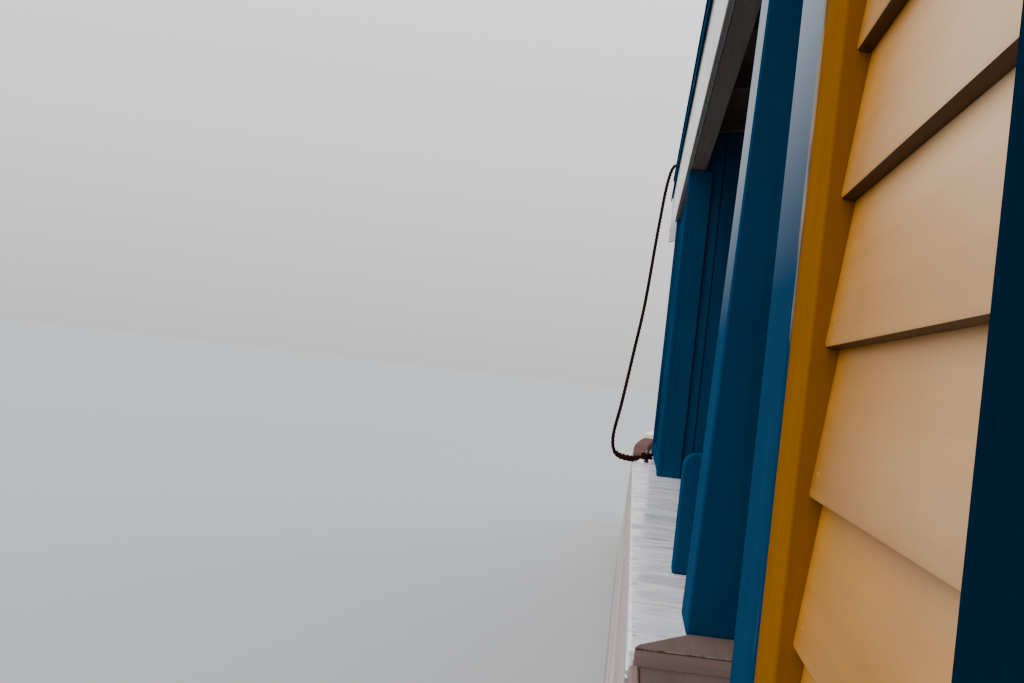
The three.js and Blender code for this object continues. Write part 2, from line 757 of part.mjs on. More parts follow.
// Upper works
addPair("cabin_wall", cabinWall(), "clapboard");
const cabinInner = CABIN.wall - WALL_THICK;
const foreInner = FORE_CABIN.wall - WALL_THICK;
addPair("corner_board_fore", cornerBoard(CABIN.fore - CORNER_BOARD.width), "ochre");
addPair("corner_board_aft", cornerBoard(-WELL_END), "ochre");
const cabinFore = bulkhead(CABIN.fore - WALL_THICK, cabinInner, BOARD.top, DOORWAYS.inner, true);
add("cabin_fore_bulkhead", cabinFore, "navy");
add("cabin_aft_bulkhead", mirrored(endBulkhead(cabinInner, BOARD.top), "x"), "navy");
const foreWall = box(
  FORE_CABIN.aft,
  WELL_END,
  foreInner,
  FORE_CABIN.wall,
  LEDGE.top + GAP,
  EAVE.bottom,
);
addPair("fore_cabin_wall", foreWall, "navy");
const foreAft = bulkhead(FORE_CABIN.aft, foreInner, LEDGE.top, DOORWAYS.inner, true);
add("fore_cabin_aft_bulkhead", foreAft, "navy");
add("fore_cabin_front_bulkhead", endBulkhead(foreInner, LEDGE.top), "navy");
for (const [name, x] of Object.entries(POST_STARTS)) {
  const foot = (x < LEDGE.start ? BOARD.top : LEDGE.top) + GAP;
  const start = x + (x === CABIN.fore ? GAP : 0);
  const inner = POST.outer - POST.depth;
  addPair("post_" + name, box(start, x + POST.length, inner, POST.outer, foot, EAVE.bottom), "navy");
}
const eave = box(-WELL_END, WELL_END, EAVE.inner, EAVE.outer, EAVE.bottom + GAP, EAVE.top);
addPair("eave_beam", eave, "white");
add("roof", roof(), "navy");
add("roof_frame", roofFrame(), "timber");
add("gable_fore", gable(), "white");
add("gable_aft", mirrored(gable(), "x"), "white");
add("door_fore", door(), "navy");
add("door_aft", mirrored(door(), "x"), "navy");

// Fittings
addPair("open_bench", seatWithEnd(), "navy");
addPair("cabin_bench", bench(CABIN_BENCH.start, CABIN_BENCH.end), "timber");
addPair("entry_steps", entrySteps(), "planks");
addCleats();
add("towing_bitt", bitt(), "timber");
add("rudder", rudder(), "timber");
add("tiller", tiller(), "timber");
add("mooring_rope", rope(), "rope");

export default boat;
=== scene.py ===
import json
from math import asin, atan, ceil, copysign, cos, pi, radians, sin, sqrt, tau

import bmesh
import bpy
from bpy.props import FloatProperty, FloatVectorProperty, IntProperty, PointerProperty
from mathutils import Matrix, Vector


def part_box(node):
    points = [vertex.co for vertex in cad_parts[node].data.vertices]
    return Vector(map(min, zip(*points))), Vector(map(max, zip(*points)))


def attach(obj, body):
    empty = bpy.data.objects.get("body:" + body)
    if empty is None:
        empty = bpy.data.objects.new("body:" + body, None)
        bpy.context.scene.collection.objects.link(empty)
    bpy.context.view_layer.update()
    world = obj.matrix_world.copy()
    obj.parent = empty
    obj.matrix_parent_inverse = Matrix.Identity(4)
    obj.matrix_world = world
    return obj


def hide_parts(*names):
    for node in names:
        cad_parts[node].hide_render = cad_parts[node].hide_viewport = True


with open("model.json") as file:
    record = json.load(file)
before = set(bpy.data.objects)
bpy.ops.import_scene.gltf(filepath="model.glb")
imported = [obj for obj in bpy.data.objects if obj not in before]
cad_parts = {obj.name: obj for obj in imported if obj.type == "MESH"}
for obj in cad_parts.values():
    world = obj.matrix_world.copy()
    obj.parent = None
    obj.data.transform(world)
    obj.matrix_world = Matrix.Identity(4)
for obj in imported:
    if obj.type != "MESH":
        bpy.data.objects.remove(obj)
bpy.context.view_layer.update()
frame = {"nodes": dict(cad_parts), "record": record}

bl_info = {
    "name": "Canal boat",
    "version": (1, 0, 0),
    "blender": (4, 5, 0),
    "location": "View3D > Sidebar > Canal boat",
    "description": "Dresses the model of a wooden canal boat with planks, boards, fittings and worn paint",
    "category": "Object",
}

# The photograph: its size, the lens, where the boat's length vanishes, and the lean of its uprights
PHOTO_WIDTH, PHOTO_HEIGHT = 1024, 683
SENSOR_MM, LENS_MM = 36.0, 50.0
VANISHING_POINT = (635.0, 386.0)
UPRIGHT_LEAN = radians(6.3)
EYE = Vector((-0.95, 2.05, 1.554))

# Small gaps: between pieces that lie against each other, trim and what it stands on, boards end to end
GAP = 0.0003
CLEAR = 0.0005
JOINT = 0.0015
BUTT = 0.0008

# The boat's frame, in metres: +X forward, +Y port, +Z up
WATERLINE = 0.434
HALF_LENGTH = 11.75
HALF_BOTTOM = 2.062
SIDE_LEAN = 0.04
BOTTOM_THICK = 0.06
SIDE_THICK = 0.09
HULL_TOP = 1.1
WELL_END = 7.78
BOW = {"sign": 1, "length": 3.7, "power": 2.6}
STERN = {"sign": -1, "length": 3.0, "power": 3.0}
END_STEPS = 32
LEDGE = {"start": 1.27, "end": 7.15, "inner": 1.79, "outer": 2.017, "top": 1.15}
BOARD = {"outer": 2.01, "top": 1.125}
TONGUE = 1.921
RAIL_THICK = 0.092
RAIL_RISE = 0.14
DECK_TOP = 1.13
FLOOR_TOP = 0.53
ENTRANCE = {"aft": 0.56, "fore": 1.42, "back": 1.78, "edge": 1.996, "tread": 0.28, "heights": (0.93, 0.73)}
EAVE = {"bottom": 2.585, "top": 2.72, "inner": 1.83, "plate": 1.901}
FASCIA = {"back": 1.9015, "foot": 1.9195, "head": 1.9475}
ROOF = {"edge": 1.95, "edge_thick": 0.04, "crown": 3.036, "thick": 0.056, "half": 1.91, "rise": 0.18}
ROOF_RADIUS = (ROOF["half"] ** 2 + ROOF["rise"] ** 2) / (2 * ROOF["rise"])
CANVAS = {"width": 1.3, "lap": 0.018, "lift": 0.0028, "thick": 0.006}
GABLE = {"thick": 0.028, "outer": 1.945, "bottom": 2.45, "crown": 2.756}
CABIN = {"fore": 0.305, "lining": 1.844}
FORE_CABIN = {"aft": 5.7, "wall": 1.887}
LAP = {"first": 1.133, "butt": 1.908, "rows": 13}
CORNER = 0.135
CLAD = (-WELL_END + CORNER + GAP, CABIN["fore"] - CORNER - GAP)
WINDOW_FORE = max(
    box["box_m"][1][0]
    for box in frame["record"]["physics"]["openings"]
    if box["name"].startswith("window")
) + 0.01
WINDOW = {"pitch": 2.0, "count": 4, "width": 0.73, "bottom": 1.36, "top": 2.26}
CASING = {"width": 0.1, "outer": 1.925}
DOORWAY = {"half": 0.33, "sill": 1.135, "head": 2.67}
DOOR = {"thick": 0.04, "lap": 0.025, "clear": 0.005, "strap": 0.42}
HINGE = {"x": 7.84, "y": 0.375, "eye": 0.02, "bore": 0.01045, "height": 0.04, "heights": (1.4, 2.35)}
POST_DRAW = 0.0225
STOCK = {"x": -11.95, "top": 2.1}
BLADE = {"end": -13.15, "half": 0.03}
TILLER = {"bottom": 1.985, "depth": 0.09}
BENCH = {"inner": 1.3, "outer": 1.745, "seat": 0.96}
CLEAT = {"x": 6.8, "y": 1.945, "roof_x": 7.4, "roof_y": 1.8}
BITT = {"x": 9.6, "side": 0.17, "top": 1.6503}
SIDES = (("port", 1), ("starboard", -1))
ENDS = (("fore", 1), ("aft", -1))
BEVEL_ANGLE = radians(28)

# The rope's route, from the roof cleat over the roof's edge and down to the ledge
ROPE_ROUTE = [
    (7.4, 1.8179, 2.8996), (7.4, 1.8573, 2.8926), (7.398, 1.915, 2.878), (7.394, 1.954, 2.862),
    (7.386, 1.972, 2.838), (7.37, 1.984, 2.79), (7.33, 1.998, 2.69), (7.25, 2.012, 2.51),
    (7.19, 2.022, 2.372), (7.06, 2.046, 2.01), (6.96, 2.08, 1.718), (6.9, 2.112, 1.455),
    (6.862, 2.137, 1.29), (6.846, 2.13, 1.205), (6.832, 2.094, 1.17), (6.814, 2.032, 1.161),
    (6.805, 2.007, 1.164), (6.801, 1.982, 1.174), (6.8, 1.9589, 1.175),
]


def srgb(red, green, blue):
    """A colour given in 8-bit display values, as the linear values that Blender uses."""
    values = [v / 255 for v in (red, green, blue)]
    return tuple(v / 12.92 if v <= 0.04045 else ((v + 0.055) / 1.055) ** 2.4 for v in values)


def length(name, description, default):
    """A property that holds a size in metres."""
    return FloatProperty(
        name=name, description=description, default=default, min=0.0001, max=10.0,
        unit="LENGTH", subtype="DISTANCE", precision=4,
    )


def colour(name, description, red, green, blue):
    """A property that holds a colour."""
    return FloatVectorProperty(
        name=name, description=description, default=srgb(red, green, blue), min=0.0, max=1.0,
        size=3, subtype="COLOR",
    )


class CanalBoatSizes(bpy.types.PropertyGroup):
    """Sizes of the boat's boards, planks and fittings."""

    exposure: length("Clapboard exposure", "Height of each clapboard that shows", 0.1165)
    lap_thickness: length("Clapboard thickness", "Thickness of a clapboard", 0.013)
    strake: length("Strake width", "Width of the planks along the hull's side", 0.208)
    deck_plank: length("Deck plank width", "Width of the planks on the two decks", 0.14)
    floor_plank: length("Floor plank width", "Width of the planks of the inside floor", 0.185)
    ceiling_board: length("Ceiling board width", "Width of the boards under the roof", 0.12)
    door_board: length("Door board width", "Width of the upright boards of the doors", 0.118)
    seam: length("Seam", "Gap between two planks", 0.004)
    slat: length("Bench slat width", "Width of the slats of the benches", 0.082)
    rope: length("Rope diameter", "Diameter of the mooring rope", 0.02)
    rope_lay: length("Rope lay", "Length of one turn of the rope's strands", 0.068)
    nail: length("Nail head", "Diameter of the painted nail heads", 0.007)
    bolt: length("Bolt head", "Width of the bolt heads on the ironwork", 0.022)
    rope_strands: IntProperty(
        name="Rope strands", description="Number of strands in the rope", default=3, min=2, max=6
    )


class CanalBoatColours(bpy.types.PropertyGroup):
    """Colours of the boat's paints and bare materials."""

    navy: colour("Blue paint", "Posts, casings, benches, doors and roof edge", 0, 59, 92)
    white: colour("White paint", "Fascia, gables and rail caps", 244, 242, 236)
    ledge: colour("Ledge paint", "Glossy worn paint of the ledges", 244, 240, 243)
    ochre: colour("Ochre paint", "Corner boards", 138, 86, 0)
    clapboard: colour("Clapboard paint", "Boards of the cabin's sides", 176, 116, 34)
    # The pale clapboard colour stands for sun fading and for a painted sheen of the sky on the upper boards.
    bleached_with_sheen: colour("Bleached clapboards", "Clapboard paint that the sun has faded", 240, 203, 162)
    taupe: colour("Brown paint", "Covering boards and toe rails", 100, 76, 70)
    threshold: colour("Threshold paint", "Scuffed boards of the entrances", 104, 86, 80)
    hull: colour("Hull paint", "Planks above the water", 186, 169, 163)
    tar: colour("Tar", "Planks under the water", 30, 27, 25)
    plank: colour("Weathered planks", "Decks and floor", 128, 112, 96)
    timber: colour("Dark timber", "Bitt, rudder, tiller and beams", 82, 62, 46)
    bare: colour("Bare wood", "Wood that shows where the paint has gone", 140, 126, 110)
    iron: colour("Iron", "Cleats, straps and bolts", 38, 36, 36)
    rust: colour("Rust", "Rust on the ironwork", 104, 56, 30)
    rope: colour("Rope", "Fibres of the mooring rope", 46, 25, 19)
    canvas: colour("Roof canvas", "Painted canvas on the roof", 150, 150, 144)


# Shapes


class Shape:
    """Points and faces gathered for one mesh."""

    def __init__(self):
        self.points = []
        self.faces = []

    def add(self, points, faces):
        """More points, and faces between them."""
        base = len(self.points)
        self.points += [tuple(p) for p in points]
        self.faces += [tuple(base + i for i in face) for face in faces]
        return self

    def box(self, x, y, z):
        """A box between two values on each axis."""
        (x0, x1), (y0, y1), (z0, z1) = sorted(x), sorted(y), sorted(z)
        rings = [[(x0, y, z) for y, z in ((y0, z0), (y1, z0), (y1, z1), (y0, z1))]]
        rings.append([(x1, *p[1:]) for p in rings[0]])
        return self.loft(rings)

    def side_box(self, side, x, y, z):
        """A box on one side of the boat, from its values for port."""
        return self.box(x, (side * y[0], side * y[1]), z)

    def end_box(self, sign, x, y, z):
        """A box at one end of the boat, from its values for the bow."""
        return self.box((sign * x[0], sign * x[1]), y, z)

    def loft(self, rings, closed=False):
        """A skin through rings of points. Unless closed on itself, both ends are capped."""
        count = len(rings[0])
        faces = []
        for r in range(len(rings) if closed else len(rings) - 1):
            a, b = r * count, (r + 1) % len(rings) * count
            for i in range(count):
                j = (i + 1) % count
                faces.append((a + i, a + j, b + j, b + i))
        if not closed:
            faces.append(tuple(reversed(range(count))))
            faces.append(tuple(range((len(rings) - 1) * count, len(rings) * count)))
        return self.add([p for ring in rings for p in ring], faces)

    def prism(self, outline, axis, low, high):
        """An outline on the other two axes, in their order, run along one axis."""
        def lifted(value):
            return [tuple(p[:axis]) + (value,) + tuple(p[axis:]) for p in outline]

        return self.loft([lifted(low), lifted(high)])

    def tube(self, path, radius, sides=12, closed=False):
        """A round bar along a path. The radius is one value or one for each point."""
        radii = radius if isinstance(radius, list) else [radius] * len(path)
        rings = []
        for (place, across, up), size in zip(carried(path, closed), radii):
            rings.append([
                place + size * (cos(turn) * across + sin(turn) * up) for turn in turns(sides)
            ])
        return self.loft(rings, closed)


def turns(count):
    """Angles at even steps round a circle."""
    return [tau * i / count for i in range(count)]


def spaced(start, stop, pitch):
    """Values a pitch apart, from the start to short of the stop."""
    return [start + i * pitch for i in range(ceil((stop - start) / pitch))]


def divided(half, count):
    """Marks that divide the width from -half to half into a count of equal parts."""
    return [-half + 2 * half * i / count for i in range(count + 1)]


def lengths(marks, gap=0.0):
    """The stretches between marks, each drawn in by a gap at both its ends."""
    return [(a + gap, b - gap) for a, b in zip(marks, marks[1:])]


def carried(path, closed=False):
    """Each point of a path with two directions square to it and to each other, which don't spin."""
    points = [Vector(p) for p in path]
    count = len(points)
    result = []
    across = None
    for i, place in enumerate(points):
        after = points[(i + 1) % count] if closed or i + 1 < count else place
        before = points[i - 1] if closed or i else place
        along = (after - before).normalized()
        if across is None:
            side = Vector((0, 0, 1)) if abs(along.z) < 0.9 else Vector((1, 0, 0))
            across = along.cross(side).normalized()
        across = (across - across.dot(along) * along).normalized()
        result.append((place, across, along.cross(across)))
    return result


def smooth_path(points, steps):
    """A Catmull-Rom curve through the points, with this many steps between each two."""
    guide = [Vector(p) for p in points]
    guide = [2 * guide[0] - guide[1], *guide, 2 * guide[-1] - guide[-2]]
    path = []
    for a, b, c, d in zip(guide, guide[1:], guide[2:], guide[3:]):
        for i in range(steps):
            t = i / steps
            square, cube = 2 * a - 5 * b + 4 * c - d, 3 * b - a - 3 * c + d
            path.append(0.5 * (2 * b + (c - a) * t + square * t**2 + cube * t**3))
    path.append(guide[-2])
    return path


def side_half(z):
    """Half breadth of the planking's outside at a height."""
    return HALF_BOTTOM - SIDE_LEAN * z


def end_curve(end, half, inset=0.0):
    """Points round one end of the hull, from the port shoulder to the starboard one."""
    reach = end["length"] - inset
    shoulder = HALF_LENGTH - end["length"]
    points = []
    for i in range(2 * END_STEPS + 1):
        turn = pi / 2 * i / END_STEPS
        along = abs(sin(turn)) ** (2 / end["power"])
        across = 0.0 if i == END_STEPS else abs(cos(turn)) ** (2 / end["power"])
        side = -1 if i > END_STEPS else 1
        points.append((end["sign"] * (shoulder + reach * along), side * (half - inset) * across))
    return points


def hull_loop(half, inset=0.0):
    """The whole outline of the hull, seen from above."""
    return end_curve(BOW, half, inset) + list(reversed(end_curve(STERN, half, inset)))


def cambered(crown, y):
    """Height of the roof's arc at a distance from the middle."""
    return crown - (ROOF_RADIUS - sqrt(ROOF_RADIUS**2 - y**2))


def sheer(x):
    """Height of the toe rail's top, which rises towards the ends."""
    along = (abs(x) - LEDGE["end"]) / (HALF_LENGTH - LEDGE["end"])
    return LEDGE["top"] + RAIL_RISE * max(along, 0.0) ** 2


def strake_height(wanted):
    """The height of each of the hull's strakes, as near to the wanted one as whole strakes allow."""
    height = HULL_TOP - BOTTOM_THICK - GAP
    return height / max(1, round(height / wanted))


def canvas_width():
    """How far apart the laps of the roof's canvas are."""
    covered = 2 * (WELL_END + GABLE["thick"])
    return covered / round(covered / CANVAS["width"])


def roof_seat(side):
    """Where a cleat sits on the roof of one side, turned to the roof's slope."""
    y = side * CLEAT["roof_y"]
    place = Matrix.Translation((CLEAT["roof_x"], y, cambered(ROOF["crown"], y)))
    return place @ Matrix.Rotation(-side * asin(CLEAT["roof_y"] / ROOF_RADIUS), 4, "X")


def window_spans():
    """The aft and forward edges of each window's opening, from the bow end."""
    return [
        (WINDOW_FORE - i * WINDOW["pitch"] - WINDOW["width"], WINDOW_FORE - i * WINDOW["pitch"])
        for i in range(WINDOW["count"])
    ]


# Pieces


# What the stage prepares for the others: finishes by name, those of worn edges, and node trees
FINISHES, WORN_EDGES, TREES = {}, {}, {}


def placed(name, data):
    """A new object at the origin, in the scene."""
    thing = bpy.data.objects.new(name, data)
    bpy.context.scene.collection.objects.link(thing)
    return thing


def mesh_of(name, shape):
    """A smooth mesh of a shape whose faces point outwards."""
    mesh = bpy.data.meshes.new(name)
    mesh.from_pydata(shape.points, [], shape.faces)
    bm = bmesh.new()
    bm.from_mesh(mesh)
    bmesh.ops.recalc_face_normals(bm, faces=bm.faces)
    bm.to_mesh(mesh)
    bm.free()
    mesh.shade_smooth()
    return mesh


def make(name, shape, finish, body="boat", bevel=0.0, segments=2, nodes=(), sharp=35):
    """A finished piece of the boat from a shape, with its edges rounded.

    Sharp is the angle past which an edge of a piece without rounding stays sharp.
    """
    mesh = mesh_of(name, shape)
    if not bevel:
        mesh.set_sharp_from_angle(angle=radians(sharp))
    return dressed(name, mesh, finish, body, bevel, segments, nodes)


def dressed(name, mesh, finish, body, bevel, segments, nodes):
    """Links a mesh as a piece that rides on a body and stands for CAD nodes."""
    mesh.materials.clear()
    mesh.materials.append(FINISHES[finish])
    piece = placed(name, mesh)
    if bevel:
        rounding = piece.modifiers.new("Rounded edges", "BEVEL")
        if finish in WORN_EDGES:
            mesh.materials.append(WORN_EDGES[finish])
            rounding.material = len(mesh.materials) - 1
        rounding.width = bevel
        rounding.segments = segments
        rounding.limit_method = "ANGLE"
        rounding.angle_limit = BEVEL_ANGLE
        rounding.harden_normals = True
        rounding.use_clamp_overlap = True
    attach(piece, body)
    if nodes:
        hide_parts(*([nodes] if isinstance(nodes, str) else nodes))
    return piece


def softened(node, finish, bevel=0.004, segments=2, body="boat", draw=0.0):
    """A copy of a CAD node with its triangles joined and its edges rounded.

    Draw is how far its outer face leans in for each metre up.
    """
    mesh = frame["nodes"][node].data.copy()
    bm = bmesh.new()
    bm.from_mesh(mesh)
    bmesh.ops.remove_doubles(bm, verts=bm.verts, dist=1e-5)
    bmesh.ops.dissolve_limit(bm, angle_limit=radians(0.6), verts=bm.verts, edges=bm.edges)
    if draw:
        outer_face = max(abs(vert.co.y) for vert in bm.verts) - 0.01
        foot = min(vert.co.z for vert in bm.verts)
        for vert in bm.verts:
            if abs(vert.co.y) > outer_face:
                vert.co.y -= copysign(draw * (vert.co.z - foot), vert.co.y)
    bm.to_mesh(mesh)
    bm.free()
    if "custom_normal" in mesh.attributes:
        mesh.attributes.remove(mesh.attributes["custom_normal"])
    mesh.shade_smooth()
    return dressed(node + "_soft", mesh, finish, body, bevel, segments, node)


# Repeated parts, made with geometry nodes


def tree_with(name, inputs):
    """A new geometry node tree, the sockets of its named inputs, and its output node."""
    tree = bpy.data.node_groups.new(name, "GeometryNodeTree")
    face = tree.interface
    face.new_socket("Geometry", in_out="INPUT", socket_type="NodeSocketGeometry")
    for label, kind, default in inputs:
        socket = face.new_socket(label, in_out="INPUT", socket_type="NodeSocket" + kind)
        if default is not None:
            socket.default_value = default
    face.new_socket("Geometry", in_out="OUTPUT", socket_type="NodeSocketGeometry")
    return tree, tree.nodes.new("NodeGroupInput").outputs, tree.nodes.new("NodeGroupOutput")


def wired(tree, kind, sockets, **settings):
    """A new node with its settings, and its inputs set, or linked to a socket or a node's first output."""
    node = tree.nodes.new(kind)
    for key, value in settings.items():
        setattr(node, key, value)
    for key, value in (sockets or {}).items():
        socket = node.inputs[key]
        if isinstance(value, bpy.types.Node):
            value = value.outputs[0]
        if isinstance(value, bpy.types.NodeSocket):
            tree.links.new(value, socket)
        else:
            socket.default_value = value
    return node


def named(tree, name, kind):
    """A Named Attribute node."""
    return wired(tree, "GeometryNodeInputNamedAttribute", {"Name": name}, data_type=kind)


def finish_tree(tree, source, given, instances):
    """Ends a tree: the instances made real, with their material."""
    tone = wired(tree, "FunctionNodeRandomValue", {"Seed": source["Seed"]}, data_type="FLOAT")
    stored = wired(
        tree, "GeometryNodeStoreNamedAttribute",
        {"Geometry": instances, "Name": "tone", "Value": tone.outputs[1]},
        data_type="FLOAT", domain="INSTANCE",
    )
    real = wired(tree, "GeometryNodeRealizeInstances", {"Geometry": stored})
    coated = wired(tree, "GeometryNodeSetMaterial", {"Geometry": real, "Material": source["Finish"]})
    tree.links.new(coated.outputs["Geometry"], given.inputs["Geometry"])
    return tree


def board_tree():
    """Boards with rounded edges: one from each point, turned and as long as the point's attributes say."""
    tree, source, given = tree_with("Boards", [
        ("Width", "Float", 0.1), ("Thickness", "Float", 0.02), ("Edge radius", "Float", 0.002),
        ("Seed", "Int", 1), ("Finish", "Material", None),
    ])
    line = wired(tree, "GeometryNodeCurvePrimitiveLine", {"Start": (0, 0, 0), "End": (1, 0, 0)})
    upright = wired(tree, "GeometryNodeSetCurveNormal", {"Curve": line}, mode="Z_UP")
    section = wired(
        tree, "GeometryNodeCurvePrimitiveQuadrilateral",
        {"Width": source["Thickness"], "Height": source["Width"]},
    )
    eased = wired(
        tree, "GeometryNodeFilletCurve",
        {"Curve": section, "Radius": source["Edge radius"], "Count": 2, "Limit Radius": True},
        mode="POLY",
    )
    board = wired(
        tree, "GeometryNodeCurveToMesh",
        {"Curve": upright, "Profile Curve": eased, "Fill Caps": True},
    )
    turn = wired(tree, "FunctionNodeEulerToRotation", {"Euler": named(tree, "turn", "FLOAT_VECTOR")})
    size = wired(tree, "ShaderNodeCombineXYZ", {"X": named(tree, "run", "FLOAT"), "Y": 1.0, "Z": 1.0})
    instances = wired(
        tree, "GeometryNodeInstanceOnPoints",
        {"Points": source["Geometry"], "Instance": board, "Rotation": turn, "Scale": size},
    )
    return finish_tree(tree, source, given, instances)


def head_tree():
    """Nail or bolt heads: one on each point, facing the way that the point's attribute says."""
    tree, source, given = tree_with("Heads", [
        ("Radius", "Float", 0.004), ("Height", "Float", 0.002), ("Sides", "Int", 8),
        ("Taper", "Float", 0.7), ("Seed", "Int", 1), ("Finish", "Material", None),
    ])
    top = wired(
        tree, "ShaderNodeMath", {0: source["Radius"], 1: source["Taper"]}, operation="MULTIPLY"
    )
    head = wired(
        tree, "GeometryNodeMeshCone",
        {"Vertices": source["Sides"], "Radius Top": top,
         "Radius Bottom": source["Radius"], "Depth": source["Height"]},
    )
    turn = wired(
        tree, "FunctionNodeAlignRotationToVector", {"Vector": named(tree, "facing", "FLOAT_VECTOR")}, axis="Z"
    )
    instances = wired(
        tree, "GeometryNodeInstanceOnPoints",
        {"Points": source["Geometry"], "Instance": head, "Rotation": turn},
    )
    return finish_tree(tree, source, given, instances)


def grown(name, tree, points, attributes, inputs, finish, body="boat", nodes=(), slot=None, sharp=35):
    """A piece that a geometry node tree makes on loose points, as a plain mesh."""
    mesh = bpy.data.meshes.new(name)
    mesh.from_pydata([tuple(p) for p in points], [], [])
    for label, (kind, values) in attributes.items():
        layer = mesh.attributes.new(label, kind, "POINT")
        if kind == "FLOAT_VECTOR":
            layer.data.foreach_set("vector", [number for value in values for number in value])
        else:
            layer.data.foreach_set("value", values)
    seedling = placed(name + "_points", mesh)
    modifier = seedling.modifiers.new(tree.name, "NODES")
    modifier.node_group = tree
    values = {**inputs, "Finish": FINISHES[finish]}
    for item in tree.interface.items_tree:
        if item.item_type == "SOCKET" and item.in_out == "INPUT" and item.name in values:
            modifier[item.identifier] = values[item.name]
    bpy.context.view_layer.update()
    depsgraph = bpy.context.evaluated_depsgraph_get()
    result = bpy.data.meshes.new_from_object(seedling.evaluated_get(depsgraph))
    bpy.data.objects.remove(seedling)
    if not result.polygons:
        raise RuntimeError(name + " came out empty")
    result.name = name
    result.shade_smooth()
    result.set_sharp_from_angle(angle=radians(sharp))
    return dressed(name, result, finish, body, 0.0, 0, nodes)


def boards(name, places, width, thickness, finish, radius, seed, **more):
    """Boards from places, each a start, a length and an Euler turn."""
    attributes = {
        "run": ("FLOAT", [p[1] for p in places]),
        "turn": ("FLOAT_VECTOR", [p[2] for p in places]),
    }
    sizes = {"Width": width, "Thickness": thickness, "Edge radius": radius, "Seed": seed}
    return grown(name, TREES["boards"], [p[0] for p in places], attributes, sizes, finish, **more)


def heads(name, places, diameter, height, finish, sides, taper, **more):
    """Nail or bolt heads at places, each a point and the direction that it faces."""
    attributes = {"facing": ("FLOAT_VECTOR", [tuple(n) for p, n in places])}
    sizes = {"Radius": diameter / 2, "Height": height, "Sides": sides, "Taper": taper, "Seed": 1}
    return grown(name, TREES["heads"], [p for p, n in places], attributes, sizes, finish, sharp=50, **more)


# Finishes


def shade(rgb, factor=1.0):
    """A colour made darker or lighter, as a node socket takes it."""
    return tuple(min(1.0, v * factor) for v in rgb) + (1.0,)


def scaled(rgb, factor):
    """A colour made darker or lighter, as the finishes take it."""
    return tuple(factor * v for v in rgb)


